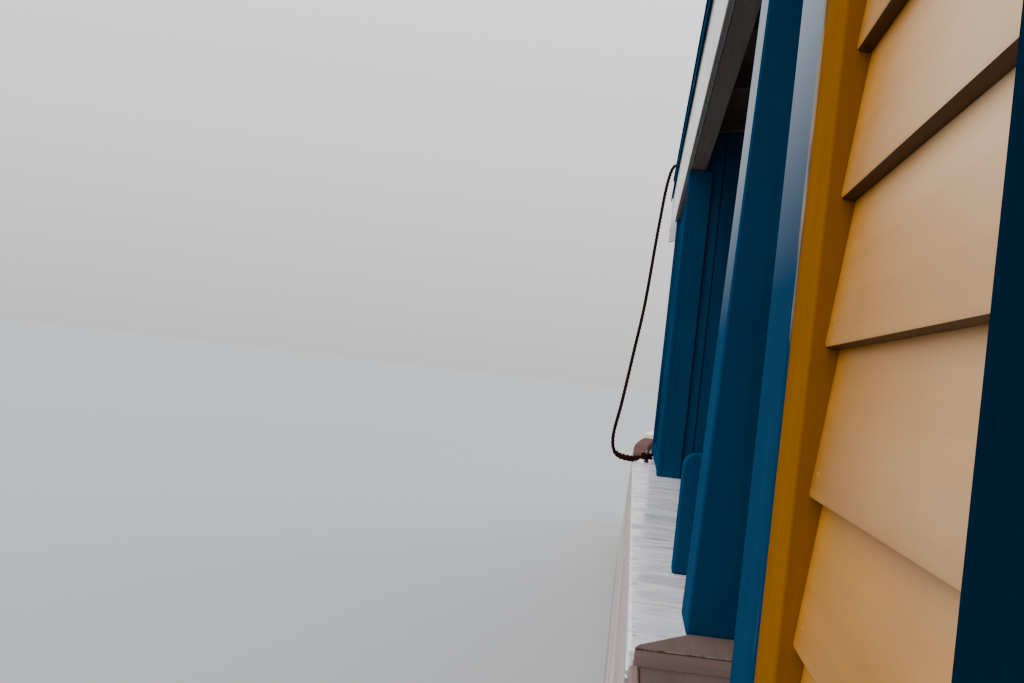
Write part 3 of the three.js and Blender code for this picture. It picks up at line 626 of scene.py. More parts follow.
class Finish:
    """The node tree of one material, built round its shader, and the colour of its surface so far."""

    def __init__(self, name, roughness=0.5, metallic=0.0, shine=0.5):
        self.material = bpy.data.materials.new(name)
        self.material.use_nodes = True
        self.tree = self.material.node_tree
        self.tree.nodes.clear()
        self.shader = self.node("ShaderNodeBsdfPrincipled", {"Roughness": roughness, "Metallic": metallic})
        self.shader.inputs["Specular IOR Level"].default_value = shine
        self.node("ShaderNodeOutputMaterial", {"Surface": self.shader})
        self.place = self.node("ShaderNodeTexCoord").outputs["Object"]
        split = self.node("ShaderNodeSeparateXYZ", {"Vector": self.place})
        self.axes = {name: split.outputs[name] for name in "XYZ"}
        self.surface = None
        self.below = None

    def node(self, kind, sockets=None, **settings):
        return wired(self.tree, kind, sockets, **settings)

    def maths(self, operation, a, b=0.0, clamp=False):
        return self.node("ShaderNodeMath", {0: a, 1: b}, operation=operation, use_clamp=clamp).outputs[0]

    def times(self, a, b):
        return self.maths("MULTIPLY", a, b)

    def plus(self, a, b):
        return self.maths("ADD", a, b)

    def minus(self, a, b):
        return self.maths("SUBTRACT", a, b)

    def noise(self, stretch, detail, roughness=0.55, offset=0.0):
        """Noise whose grains repeat this many times a metre on each axis."""
        stretch = stretch if isinstance(stretch, tuple) else (stretch,) * 3
        moved = {"Vector": self.place, "Scale": stretch, "Location": (offset,) * 3}
        spot = self.node("ShaderNodeMapping", moved)
        grains = {"Vector": spot, "Scale": 1.0, "Detail": detail, "Roughness": roughness}
        return self.node("ShaderNodeTexNoise", grains).outputs[0]

    def ramp(self, value, *stops):
        """A colour ramp between stops, each a position and a colour or a grey."""
        node = self.node("ShaderNodeValToRGB", {"Fac": value})
        elements = node.color_ramp.elements
        while len(elements) < len(stops):
            elements.new(0.5)
        for element, (position, value) in zip(elements, stops):
            element.position = position
            element.color = value if isinstance(value, tuple) else (value, value, value, 1.0)
        return node.outputs["Color"]

    def shades(self, value, base, *stops):
        """A ramp through shades of one colour: each stop is a position and a factor."""
        return self.ramp(value, *((position, shade(base, factor)) for position, factor in stops))

    def step(self, value, low, high):
        """0 under low and 1 over high, and an even rise between."""
        return self.ramp(value, (low, 0.0), (high, 1.0))

    def mix(self, amount, a, b, kind="MIX"):
        """Colour a turning to colour b."""
        node = self.node("ShaderNodeMix", {0: amount, 6: a, 7: b}, data_type="RGBA", blend_type=kind)
        return node.outputs[2]

    def seams(self, axis, pitch, offset, width):
        """1 in a line of this width at each pitch along an axis, and a number for each board."""
        units = self.maths("DIVIDE", self.minus(self.axes[axis], offset), pitch)
        near = self.maths("PINGPONG", units, 0.5)
        line = self.maths("LESS_THAN", near, width / pitch / 2)
        return line, self.maths("FLOOR", units)

    def rise(self, value, low, high):
        """0 under low and 1 over high, for values of any size."""
        return self.maths("DIVIDE", self.minus(value, low), high - low, clamp=True)

    def tone_of(self, number, low, high):
        """A steady brightness for each number."""
        value = self.node("ShaderNodeTexWhiteNoise", {"W": number}, noise_dimensions="1D").outputs["Value"]
        return self.ramp(value, (0.0, low), (1.0, high))

    def board_tone(self, low, high):
        """A brightness for each board of a piece that was grown, from its own attribute."""
        value = self.node("ShaderNodeAttribute", attribute_name="tone").outputs["Fac"]
        return self.ramp(value, (0.0, low), (1.0, high))

    def tint(self, tone, *stops):
        """Multiplies the surface by a grey, or by the greys that stops give to a value."""
        self.surface = self.mix(1.0, self.surface, self.ramp(tone, *stops) if stops else tone, "MULTIPLY")

    def cover(self, mask, over, amount=1.0):
        """Turns the surface to a colour, by this amount where the mask is 1."""
        part = mask if amount == 1.0 else self.times(mask, amount)
        self.surface = self.mix(part, self.surface, over)

    def undersides(self, dark):
        """Grime and shade on the faces that look down."""
        normal = self.node("ShaderNodeNewGeometry").outputs["Normal"]
        level = self.node("ShaderNodeSeparateXYZ", {"Vector": normal}).outputs["Z"]
        down = self.step(self.times(level, -1.0), 0.45, 0.85)
        self.cover(down, dark)

    def bump(self, height, strength, distance):
        """Adds relief on top of what the shader already has."""
        sockets = {"Height": height, "Strength": strength, "Distance": distance}
        if self.below is not None:
            sockets["Normal"] = self.below
        self.below = self.node("ShaderNodeBump", sockets).outputs["Normal"]
        self.tree.links.new(self.below, self.shader.inputs["Normal"])

    def sink(self, mask, strength, distance):
        """Lowers the surface where the mask is 1."""
        self.bump(self.minus(1.0, mask), strength, distance)

    def boarded(self, seams, tones, dark, depth):
        """A tone for each board, and sunk seams, each an axis, a pitch, an offset and a width."""
        for axis, pitch, offset, width in seams:
            line, number = self.seams(axis, pitch, offset, width)
            self.tint(self.tone_of(number, *tones))
            self.cover(line, dark)
            self.sink(line, depth, width)

    def paint(self, roughness=None):
        self.tree.links.new(self.surface, self.shader.inputs["Base Color"])
        if roughness is not None:
            self.tree.links.new(roughness, self.shader.inputs["Roughness"])
        return self.material


def along_each_axis(few, many):
    """Noise that repeats a few times a metre along one axis and many times across it, for each axis."""
    return {axis: tuple(few if other == axis else many for other in "XYZ") for axis in "XYZ"}


GRAIN = along_each_axis(2.2, 70)
STREAK = along_each_axis(0.5, 9)


def painted(name, base, along, rough, bare=None, wear=None, grime=0.3, seams=(), shine=0.0,
            tones=(0.94, 1.05), underside_grime_and_shade=0.3, varnish=None, bleached_with_sheen=None):
    """Brushed paint on wood: its grain, uneven colour, grime and worn spots, with seams between boards.

    Rough is the roughness where the paint is smooth and where it is dull. Wear is the value of the
    streaks past which the bare wood shows. Varnish gives two heights and how much of it is left at
    each. Faces that look down are darkened by a factor, as grime and painted shade. The pale colour,
    if given, is laid over the upper boards away from the corners: sun fading, and a painted sheen of
    the sky.
    """
    look = Finish(name, shine=shine)
    grain = look.noise(GRAIN[along], 6.0, 0.6)
    streak = look.noise(STREAK[along], 5.0, 0.6, 3.0)
    cloud = look.noise(1.7, 5.0, 0.6, 7.0)
    look.surface = look.shades(cloud, base, (0.3, 0.8), (0.5, 1.0), (0.72, 1.16))
    look.tint(grain, (0.3, 0.9), (0.7, 1.06))
    look.tint(look.board_tone(*tones))
    look.cover(look.step(streak, 0.52, 0.75), shade(base, 0.45), grime)
    if varnish:
        low, high, least, most = varnish
        left = look.times(look.rise(look.axes["Z"], low, high), most - least)
        look.tree.links.new(look.plus(left, least), look.shader.inputs["Coat Weight"])
        look.shader.inputs["Coat Roughness"].default_value = 0.2
    # Paler colour on the upper boards away from the corners: sun fading, and a painted sheen of the sky.
    if bleached_with_sheen is not None:
        look.cover(faded_with_sheen(look, cloud, streak), shade(bleached_with_sheen))
    worn = None
    if bare is not None:
        worn = look.step(look.times(streak, look.plus(grain, 0.5)), wear, wear + 0.04)
        look.cover(worn, shade(bare))
    look.boarded(seams, (0.86, 1.08), shade(base, 0.16), 0.8)
    # Faces that look down, such as the laps' undersides, are darkened as grime and painted shade.
    look.undersides(shade(base, underside_grime_and_shade))
    look.bump(grain, 0.25, 0.0012)
    look.bump(cloud, 0.3, 0.004)
    if worn is not None:
        look.sink(worn, 0.5, 0.0008)
    polish = look.ramp(look.mix(0.5, streak, cloud), (0.35, rough[0]), (0.65, rough[1]))
    return look.paint(polish)


def faded_with_sheen(look, cloud, streak):
    """How much of the pale colour the clapboards take: sun fading, and a painted sheen of the sky; least by
    the corner boards and low down.
    """
    middle = (CABIN["fore"] - WELL_END) / 2
    reach = (CABIN["fore"] + WELL_END) / 2 - CORNER
    plain_to, pale_from = WINDOW["bottom"], 1.8
    # Within the first distance from the corner boards the boards keep their plain colour; past the second
    # they take the full pale colour.
    sheltered, clear_of_corners = 0.1, 0.5
    least, patches = 0.7, 0.25
    from_middle = look.maths("ABSOLUTE", look.minus(look.axes["X"], middle))
    ragged = look.times(look.minus(streak, 0.5), 0.35)
    away_from_corners = look.rise(look.plus(look.minus(reach, from_middle), ragged), sheltered, clear_of_corners)
    high = look.rise(look.plus(look.axes["Z"], ragged), plain_to, pale_from)
    patchy = look.plus(look.times(look.rise(cloud, 0.3, 0.65), patches), least)
    return look.times(look.times(away_from_corners, high), patchy)


def bare_wood(name, base, along, seams=(), tones=(0.78, 1.14)):
    """Weathered bare wood with open grain, silvered and trodden patches, and drying cracks."""
    look = Finish(name)
    grain = look.noise(GRAIN[along], 8.0, 0.65)
    figure = look.noise(STREAK[along], 6.0, 0.6, 5.0)
    cloud = look.noise(1.1, 4.0, 0.5, 2.0)
    low, mid, high = 0.28, 0.5, 0.74
    look.surface = look.shades(grain, base, (low, 0.55), (mid, 0.95), (high, 1.3))
    grey = tuple(0.4 * v + 0.6 * sum(base) / 3 for v in base)
    silver = look.shades(grain, grey, (low, 0.6), (mid, 1.05), (high, 1.4))
    look.cover(look.step(cloud, 0.4, 0.65), silver, 0.8)
    trodden = look.step(look.noise(1.2, 5.0, 0.6, 21.0), 0.5, 0.75)
    look.cover(trodden, shade(base, 0.45), 0.35)
    look.tint(figure, (0.35, 0.8), (0.65, 1.12))
    look.tint(look.board_tone(*tones))
    cracks = look.step(look.noise(tuple(v * 1.6 for v in GRAIN[along]), 3.0, 0.5, 11.0), 0.66, 0.7)
    look.cover(cracks, shade(base, 0.2))
    look.boarded(seams, tones, shade(base, 0.12), 0.9)
    look.bump(grain, 0.45, 0.002)
    look.sink(cracks, 0.6, 0.0015)
    return look.paint(look.ramp(figure, (0.3, 0.65), (0.7, 0.9)))


def ledge_paint(name, base, bare):
    """Thick glossy paint with ripples across the ledge, greyed in streaks, and flaked at its outer edge."""
    look = Finish(name)
    ripple = look.noise((7.5, 1.7, 4), 6.0, 0.62)
    fine = look.noise((42, 7, 20), 5.0, 0.6, 6.0)
    patches = look.noise((1.9, 3.0, 2.0), 4.0, 0.55, 4.0)
    sheltered = look.rise(look.axes["X"], 1.9, 3.0)
    cold = (base[0] * 0.42, base[1] * 0.47, base[2] * 0.56, 1.0)
    look.surface = look.shades(patches, base, (0.35, 0.9), (0.6, 1.1))
    streaks = look.step(look.plus(look.times(ripple, 0.8), look.times(fine, 0.2)), 0.5, 0.57)
    worn = look.times(streaks, look.step(patches, 0.36, 0.56))
    worn = look.times(worn, look.plus(look.times(sheltered, 0.75), 0.1))
    look.cover(worn, cold)
    dirt = look.step(look.times(fine, look.plus(ripple, 0.5)), 0.56, 0.64)
    look.cover(dirt, shade(bare, 0.75), 0.5)
    outward = look.maths("ABSOLUTE", look.axes["Y"])
    rim = look.step(look.minus(outward, LEDGE["outer"] - 0.027), 0.0, 0.03)
    flakes = look.step(look.noise((34, 50, 50), 5.0, 0.65, 12.0), 0.57, 0.6)
    look.cover(look.times(rim, flakes), shade(bare, 0.8))
    # Its faces that look down are darkened as grime and painted shade.
    look.undersides(shade(bare, 0.3))
    look.bump(ripple, 0.5, 0.006)
    look.bump(fine, 0.3, 0.0015)
    return look.paint(look.ramp(ripple, (0.38, 0.1), (0.62, 0.34)))


def hull_paint(name, base, tar, bare, strake):
    """Old paint on the hull's strakes, their butts and seams, the waterline's stain, and tar below."""
    look = Finish(name)
    cloud = look.noise((1.3, 1.3, 2.4), 6.0, 0.62)
    figure = look.noise((0.9, 0.9, 16), 6.0, 0.6, 4.0)
    grain = look.noise((2.6, 2.6, 95), 7.0, 0.65, 9.0)
    runs = look.noise((7, 7, 0.9), 5.0, 0.65, 6.0)
    look.surface = look.shades(cloud, base, (0.3, 0.84), (0.5, 0.98), (0.7, 1.08))
    look.tint(figure, (0.32, 0.84), (0.66, 1.06))
    look.tint(grain, (0.32, 0.86), (0.6, 1.04))
    plank_length, straight_end = 4.2, HALF_LENGTH - 1.6
    seam, number = look.seams("Z", strake, BOTTOM_THICK + GAP, 0.007)
    look.tint(look.tone_of(number, 0.9, 1.05))
    slip = look.node("ShaderNodeTexWhiteNoise", {"W": number}, noise_dimensions="1D").outputs["Value"]
    planks = look.plus(look.maths("DIVIDE", look.axes["X"], plank_length), slip)
    near_butt = look.maths("LESS_THAN", look.maths("PINGPONG", planks, 0.5), 0.0005)
    straight = look.maths("LESS_THAN", look.maths("ABSOLUTE", look.axes["X"]), straight_end)
    butt = look.times(near_butt, straight)
    peeling = look.step(look.noise((11, 11, 19), 7.0, 0.7, 13.0), 0.54, 0.6)
    look.cover(peeling, shade(base, 0.6), 0.35)
    smear = look.times(look.step(runs, 0.54, 0.72), look.step(cloud, 0.42, 0.62))
    look.cover(smear, shade(bare, 0.5), 0.3)
    flaked = look.step(look.times(figure, look.plus(grain, 0.5)), 0.66, 0.7)
    look.cover(flaked, shade(bare, 0.72))
    joints = look.times(look.maths("MAXIMUM", seam, butt), 0.8)
    look.cover(joints, shade(base, 0.2))
    wobble = look.times(look.minus(look.noise(3, 4.0), 0.5), 0.1)
    height = look.plus(look.axes["Z"], wobble)
    slime = look.ramp(height, (WATERLINE - 0.03, 1.0), (WATERLINE + 0.11, 0.0))
    weed_green = (0.045, 0.05, 0.018, 1.0)
    look.cover(slime, weed_green, 0.85)
    under = look.ramp(height, (WATERLINE - 0.035, 1.0), (WATERLINE - 0.015, 0.0))
    tarred = look.mix(1.0, look.ramp(figure, (0.3, 0.6), (0.7, 1.3)), shade(tar), "MULTIPLY")
    look.cover(under, tarred)
    look.sink(butt, 0.9, 0.003)
    look.bump(grain, 0.4, 0.002)
    look.bump(figure, 0.3, 0.004)
    look.sink(flaked, 0.5, 0.001)
    return look.paint(look.ramp(figure, (0.3, 0.45), (0.7, 0.75)))


def iron(name, base, rust):
    """Dark ironwork, rusting in patches."""
    look = Finish(name, metallic=0.55)
    spots = look.noise(38, 6.0, 0.65)
    cloud = look.noise(9, 4.0, 0.6, 4.0)
    look.surface = look.shades(spots, base, (0.35, 0.6), (0.6, 1.3))
    rusty = look.step(look.times(spots, look.plus(cloud, 0.5)), 0.5, 0.62)
    rust_tones = look.shades(spots, rust, (0.4, 0.6), (0.7, 1.25))
    look.cover(rusty, rust_tones)
    look.bump(spots, 0.4, 0.001)
    return look.paint(look.ramp(cloud, (0.35, 0.38), (0.65, 0.72)))


def canvas(name, base, width):
    """Painted roof canvas: its lapped widths, weave, dried paint, puddle marks and dust."""
    look = Finish(name)
    cloud = look.noise(0.9, 6.0, 0.6)
    stain = look.noise((2.2, 1.1, 1.0), 5.0, 0.7, 5.0)
    threads = 1400.0
    weave = look.times(*[look.maths("SINE", look.times(look.axes[axis], threads)) for axis in "XY"])
    look.surface = look.shades(cloud, base, (0.3, 0.82), (0.5, 1.0), (0.7, 1.1))
    edge = look.ramp(stain, (0.44, 0.0), (0.5, 1.0), (0.56, 0.0))
    look.cover(edge, shade(base, 0.5), 0.3)
    lap_shade = 0.014
    lap, number = look.seams("X", width, -WELL_END - GABLE["thick"] - CANVAS["lap"] / 2, lap_shade)
    look.tint(look.tone_of(number, 0.86, 1.04))
    dust = look.step(look.noise((3.4, 14, 3), 6.0, 0.65, 8.0), 0.5, 0.7)
    look.cover(dust, shade(base, 0.62), 0.3)
    look.cover(lap, shade(base, 0.35), 0.6)
    look.bump(weave, 0.12, 0.0006)
    look.bump(cloud, 0.4, 0.008)
    return look.paint(look.ramp(stain, (0.35, 0.6), (0.65, 0.82)))


def rope_fibre(name, base):
    """Old hemp: yarns that run with the strands, from the piece's own UV map, and loose dark fibres."""
    look = Finish(name, shine=0.0)
    spot = look.node("ShaderNodeUVMap", uv_map="lay").outputs["UV"]
    split = look.node("ShaderNodeSeparateXYZ", {"Vector": spot})
    along, around = 420.0, 28.0
    slant = look.plus(look.times(split.outputs["X"], along), look.times(split.outputs["Y"], around))
    yarn = look.maths("SINE", slant)
    fuzz = look.noise(300, 4.0, 0.7)
    cloud = look.noise(6, 4.0, 0.6, 3.0)
    look.surface = look.shades(fuzz, base, (0.3, 0.5), (0.5, 1.0), (0.7, 1.5))
    look.tint(yarn, (0.0, 0.75), (1.0, 1.1))
    look.tint(cloud, (0.3, 0.8), (0.7, 1.15))
    look.bump(yarn, 0.5, 0.0008)
    look.bump(fuzz, 0.6, 0.0006)
    return look.paint()


def prepare_finishes(colours):
    """Makes every finish once, from the colours in the panel."""
    navy, white, ochre, taupe = colours.navy, colours.white, colours.ochre, colours.taupe
    plank, timber, tar, bare = colours.plank, colours.timber, colours.tar, colours.bare
    # The window casings take the blue paint darkened to a third: painted shade over the same paint.
    shaded_navy = scaled(navy, 0.33)
    strake = strake_height(bpy.context.scene.canal_boat_sizes.strake)
    blue = {"rough": (0.5, 0.7), "bare": bare, "wear": 0.86, "grime": 0.4}
    blue_boards = {**blue, "grime": 0.5}
    FINISHES.update({
        "navy_long": painted("blue_paint_long", navy, "X", **blue),
        "navy_upright": painted("blue_paint_upright", navy, "Z", **blue),
        "navy_glossy": painted("blue_paint_glossy", navy, "Z", varnish=(1.66, 2.02, 0.02, 0.6), **blue),
        "navy_casing": painted("casing_paint_shaded", shaded_navy, "Z", **blue),
        "navy_casing_long": painted("casing_paint_long_shaded", shaded_navy, "X", **blue),
        "navy_boards": painted(
            "blue_paint_boards", navy, "Z", seams=[("Y", 0.1, 0.05, 0.005)], **blue_boards),
        "navy_side_boards": painted(
            "blue_paint_side_boards", navy, "Z", seams=[("X", 0.104, 0.0, 0.004)], **blue_boards),
        # The white paint's faces that look down are darkened nearly to black, as grime and painted shade.
        "white_long": painted(
            "white_paint_long", white, "X", (0.4, 0.6), bare, 0.84, 0.3, shine=0.2, underside_grime_and_shade=0.08),
        "white_board": painted("white_paint_board", white, "Y", (0.4, 0.6), bare, 0.84, 0.35, shine=0.2),
        "ochre": painted("ochre_paint", ochre, "Z", (0.55, 0.7), bare, 0.88, 0.4),
        # Clapboards: the lap undersides are darkened as grime and the painted shadow under each lap, and the
        # pale colour is sun fading with a painted sheen of the sky.
        "clapboard": painted(
            "clapboard_paint", colours.clapboard, "X", (0.38, 0.55), bare, 0.9, 0.3, shine=0.04,
            tones=(0.88, 1.08), underside_grime_and_shade=0.12, bleached_with_sheen=colours.bleached_with_sheen),
        "lining": painted(
            "lining_paint", scaled(white, 0.8), "X", (0.5, 0.7), seams=[("Z", 0.13, 0.02, 0.004)]),
        "taupe": painted("brown_paint", taupe, "X", (0.5, 0.72), bare, 0.74, 0.5),
        "threshold": painted(
            "worn_threshold", colours.threshold, "X", (0.5, 0.7), bare, 0.68, 0.5, shine=0.03),
        # The nosing's paint, twice as light as the threshold's, also serves the ledge's end, where the extra
        # lightness is painted light on a face in shade.
        "nosing": painted("worn_nosing_and_lit_end", scaled(colours.threshold, 2.1), "Y", (0.5, 0.7), bare, 0.8, 0.4),
        "ledge": ledge_paint("ledge_paint", colours.ledge, bare),
        "hull": hull_paint("hull_paint", colours.hull, tar, bare, strake),
        "tar": bare_wood("tarred_bottom", tar, "Y", [("X", 0.22, 0.0, 0.005)]),
        "deck": bare_wood("deck_planks", plank, "X"),
        "floor": bare_wood("floor_planks", scaled(plank, 0.8), "X"),
        "steps": bare_wood("step_boards", scaled(plank, 0.72), "X"),
        "timber": bare_wood("dark_timber", timber, "X"),
        "timber_upright": bare_wood("dark_timber_upright", timber, "Z"),
        "timber_across": bare_wood("dark_timber_across", timber, "Y"),
        # The ceiling's boards take the timber darkened to 0.62: dark wood, and partly a painted shade under
        # the roof.
        "ceiling": bare_wood("ceiling_boards", scaled(timber, 0.62), "X", tones=(0.8, 1.1)),
        "caulk": bare_wood("caulking", scaled(tar, 0.6), "X"),
        "iron": iron("ironwork", colours.iron, colours.rust),
        "canvas": canvas("roof_canvas", colours.canvas, canvas_width()),
        "rope": rope_fibre("rope_fibre", colours.rope),
    })
    edges = {
        "navy_long": (navy, "X", 0.62), "navy_upright": (navy, "Z", 0.62), "navy_glossy": (navy, "Z", 0.62),
        "white_long": (white, "X", 0.6), "white_board": (white, "Y", 0.6), "ochre": (ochre, "Z", 0.64),
        "taupe": (taupe, "X", 0.55), "threshold": (taupe, "X", 0.5),
    }
    for key, (base, along, wear) in edges.items():
        name = FINISHES[key].name + "_worn_edge"
        WORN_EDGES[key] = painted(name, base, along, (0.45, 0.65), bare, wear, 0.5)
    TREES.update({"boards": board_tree(), "heads": head_tree()})


# Operators


class Builder:
    """What the operators share: their sizes, and their place in the panel's undo history."""

    bl_options = {"REGISTER", "UNDO"}

    @property
    def sizes(self):
        return bpy.context.scene.canal_boat_sizes


class CANALBOAT_OT_stage(Builder, bpy.types.Operator):
    """Set up the finishes, the camera, the soft light and the pale floor at the waterline"""

    bl_idname = "canal_boat.stage"
    bl_label = "Stage, camera and finishes"

    def execute(self, context):
        prepare_finishes(context.scene.canal_boat_colours)
        self.camera(context)
        self.light(context)
        self.ground()
        return {"FINISHED"}

    def camera(self, context):
        focal = LENS_MM / SENSOR_MM * PHOTO_WIDTH
        across = VANISHING_POINT[0] - PHOTO_WIDTH / 2
        down = VANISHING_POINT[1] - PHOTO_HEIGHT / 2
        forward = Vector((across, -down, -focal)).normalized()
        upward = Vector((sin(UPRIGHT_LEAN), cos(UPRIGHT_LEAN), 0.0))
        upward = (upward - upward.dot(forward) * forward).normalized()
        turned = Matrix([forward, upward.cross(forward), upward]).to_4x4()
        data = bpy.data.cameras.new("photo_camera")
        data.sensor_width = SENSOR_MM
        data.lens = LENS_MM
        data.clip_start, data.clip_end = 0.02, 2000
        camera = placed("photo_camera", data)
        camera.matrix_world = Matrix.Translation(EYE) @ turned
        context.scene.camera = camera

    def light(self, context):
        world = bpy.data.worlds.new("studio")
        world.use_nodes = True
        tree = world.node_tree
        direction = tree.nodes.new("ShaderNodeTexCoord").outputs["Generated"]
        height = wired(tree, "ShaderNodeSeparateXYZ", {"Vector": direction}).outputs["Z"]
        dome = wired(tree, "ShaderNodeValToRGB", {"Fac": height})
        horizon, top = dome.color_ramp.elements
        horizon.position, horizon.color = 0.0, (0.5, 0.505, 0.51, 1.0)
        top.position, top.color = 0.3, (0.95, 0.97, 1.0, 1.0)
        background = tree.nodes["Background"]
        tree.links.new(dome.outputs["Color"], background.inputs["Color"])
        background.inputs["Strength"].default_value = 1.55
        context.scene.world = world
        lamps = [
            ("soft_key", (-0.35, 0.55, 1.0), 60.0, 1.2),
            ("soft_fill", (0.4, -0.7, 1.0), 90.0, 0.35),
        ]
        for name, source, spread, power in lamps:
            data = bpy.data.lights.new(name, "SUN")
            data.angle = radians(spread)
            data.energy = power
            placed(name, data).rotation_euler = Vector(source).to_track_quat("Z", "Y").to_euler()

    def ground(self):
        reach = 400.0
        mesh = bpy.data.meshes.new("pale_floor")
        corners = [(-reach, -reach), (reach, -reach), (reach, reach), (-reach, reach)]
        mesh.from_pydata([(x, y, WATERLINE) for x, y in corners], [], [(0, 1, 2, 3)])
        finish = Finish("floor_paint", roughness=0.6)
        cloud = finish.noise(0.05, 2.0)
        finish.surface = finish.ramp(cloud, (0.4, (0.35, 0.355, 0.36, 1.0)), (0.6, (0.37, 0.375, 0.38, 1.0)))
        finish.paint()
        mesh.materials.append(finish.material)
        placed("pale_floor", mesh)


class CANALBOAT_OT_rope(Builder, bpy.types.Operator):
    """Lay the mooring rope, with its strands, its eye on the ledge cleat and its turns on the roof cleat"""

    bl_idname = "canal_boat.rope"
    bl_label = "Mooring rope"

    def execute(self, context):
        sizes = self.sizes
        path = smooth_path(ROPE_ROUTE, 34)
        rope = self.laid("rope_strands", path, [sizes.rope / 2] * len(path), "mooring_rope")
        eye = self.eye(sizes.rope / 2)
        splice = self.splice(path, sizes.rope / 2)
        return {"FINISHED"}

    def splice(self, path, radius):
        """The tucked strands that make the rope thicker where its eye is spliced."""
        part = [p for p in path if p.x < 6.842 and p.y > 1.986]
        last = len(part) - 1
        swell = [radius * (1.08 + 0.75 * sin(pi * i / last) ** 0.5) for i in range(last + 1)]
        return self.laid("rope_splice", part, swell)

    def laid(self, name, path, radii, nodes=()):
        """A tube whose section is a ring of strands, turning as it goes."""
        sides, between = 24, tau / self.sizes.rope_strands
        rings, marks, travelled, before = [], [], 0.0, None
        for (place, across, up), radius in zip(carried(path), radii):
            centre, strand = 0.46 * radius, 0.54 * radius
            travelled += (place - before).length if before is not None else 0.0
            before = place
            spin = tau * travelled / self.sizes.rope_lay
            ring = []
            for turn in turns(sides):
                near = (turn - spin) % between - between / 2
                bulge = sqrt(max(strand**2 - (centre * sin(near)) ** 2, 0.0))
                reach = centre * cos(near) + bulge
                ring.append(place + reach * (cos(turn) * across + sin(turn) * up))
            rings.append(ring)
            marks.append(travelled)
        mesh = mesh_of(name, Shape().loft(rings))
        self.unwrap(mesh, marks, sides)
        return dressed(name, mesh, "rope", "boat", 0.0, 0, nodes)

    def unwrap(self, mesh, marks, sides):
        """A UV map whose U is the way along the rope and whose V is the way round it."""
        layer = mesh.uv_layers.new(name="lay")
        for face in mesh.polygons:
            columns = [mesh.loops[corner].vertex_index % sides for corner in face.loop_indices]
            for corner, column in zip(face.loop_indices, columns):
                around = 1.0 if column == 0 and sides - 1 in columns else column / sides
                layer.data[corner].uv = (marks[mesh.loops[corner].vertex_index // sides], around)

    def eye(self, radius):
        """The eye that lies round the ledge cleat's neck, and the hitch on the roof cleat."""
        shape = Shape()
        thick, points, wave = radius * 0.84, 40, 0.002
        x, y = CLEAT["x"], CLEAT["y"]
        for height, wide in ((1.1745, 0.0345), (1.1915, 0.033)):
            deep = wide - 0.009
            shape.tube([
                (x + wide * cos(turn), y + deep * sin(turn), height + wave * sin(2 * turn))
                for turn in turns(points)
            ], thick, closed=True)
        seat = roof_seat(1)
        for height, wide in ((0.0265, 0.0325), (0.043, 0.0315)):
            deep = wide - 0.007
            shape.tube([
                seat @ Vector((wide * cos(turn), deep * sin(turn), height))
                for turn in turns(points)
            ], thick, closed=True)
        return make("rope_eye_and_hitch", shape, "rope", sharp=180)


class CANALBOAT_OT_hull(Builder, bpy.types.Operator):
    """Plank the hull with strakes round both ends, and its flat bottom across"""

    bl_idname = "canal_boat.hull"
    bl_label = "Hull planking"

    def execute(self, context):
        low = BOTTOM_THICK + GAP
        count = round((HULL_TOP - low) / strake_height(self.sizes.strake))
        ease = 0.005
        nick = ease * 0.3
        for i in range(count):
            z0 = low + (HULL_TOP - low) * i / count
            z1 = low + (HULL_TOP - low) * (i + 1) / count
            section = [
                (ease, z0), (nick, z0 + nick), (0.0, z0 + ease), (0.0, z1 - ease),
                (nick, z1 - nick), (ease, z1), (SIDE_THICK, z1), (SIDE_THICK, z0),
            ]
            rings = [[(x, y, z) for x, y in hull_loop(side_half(z), inset)] for inset, z in section]
            shape = Shape().loft(rings, closed=True)
            nodes = ["hull_side_port", "hull_side_starboard", "bow_hull", "stern_hull"] if i == 0 else ()
            make(f"strake_{i + 1}", shape, "hull", nodes=nodes, sharp=25)
        bottom = Shape().prism(hull_loop(HALF_BOTTOM), 2, 0.0, BOTTOM_THICK)
        make("bottom_planking", bottom, "tar", bevel=0.006, nodes="bottom_planks")
        self.frames()
        return {"FINISHED"}

    def frames(self):
        """Upright frames along the inside of the planking."""
        foot, head, wide, deep = FLOOR_TOP + 0.001, HULL_TOP - 0.004, 0.06, 0.055
        y = side_half(0.8) - SIDE_THICK - 0.032
        places = [
            ((x, side * y, foot), head - foot, (side * SIDE_LEAN, -pi / 2, 0.0))
            for _, side in SIDES
            for x in spaced(-WELL_END + 0.35, WELL_END - 0.2, 0.58)
        ]
        boards("hull_frames", places, wide, deep, "timber_upright", 0.004, 3)


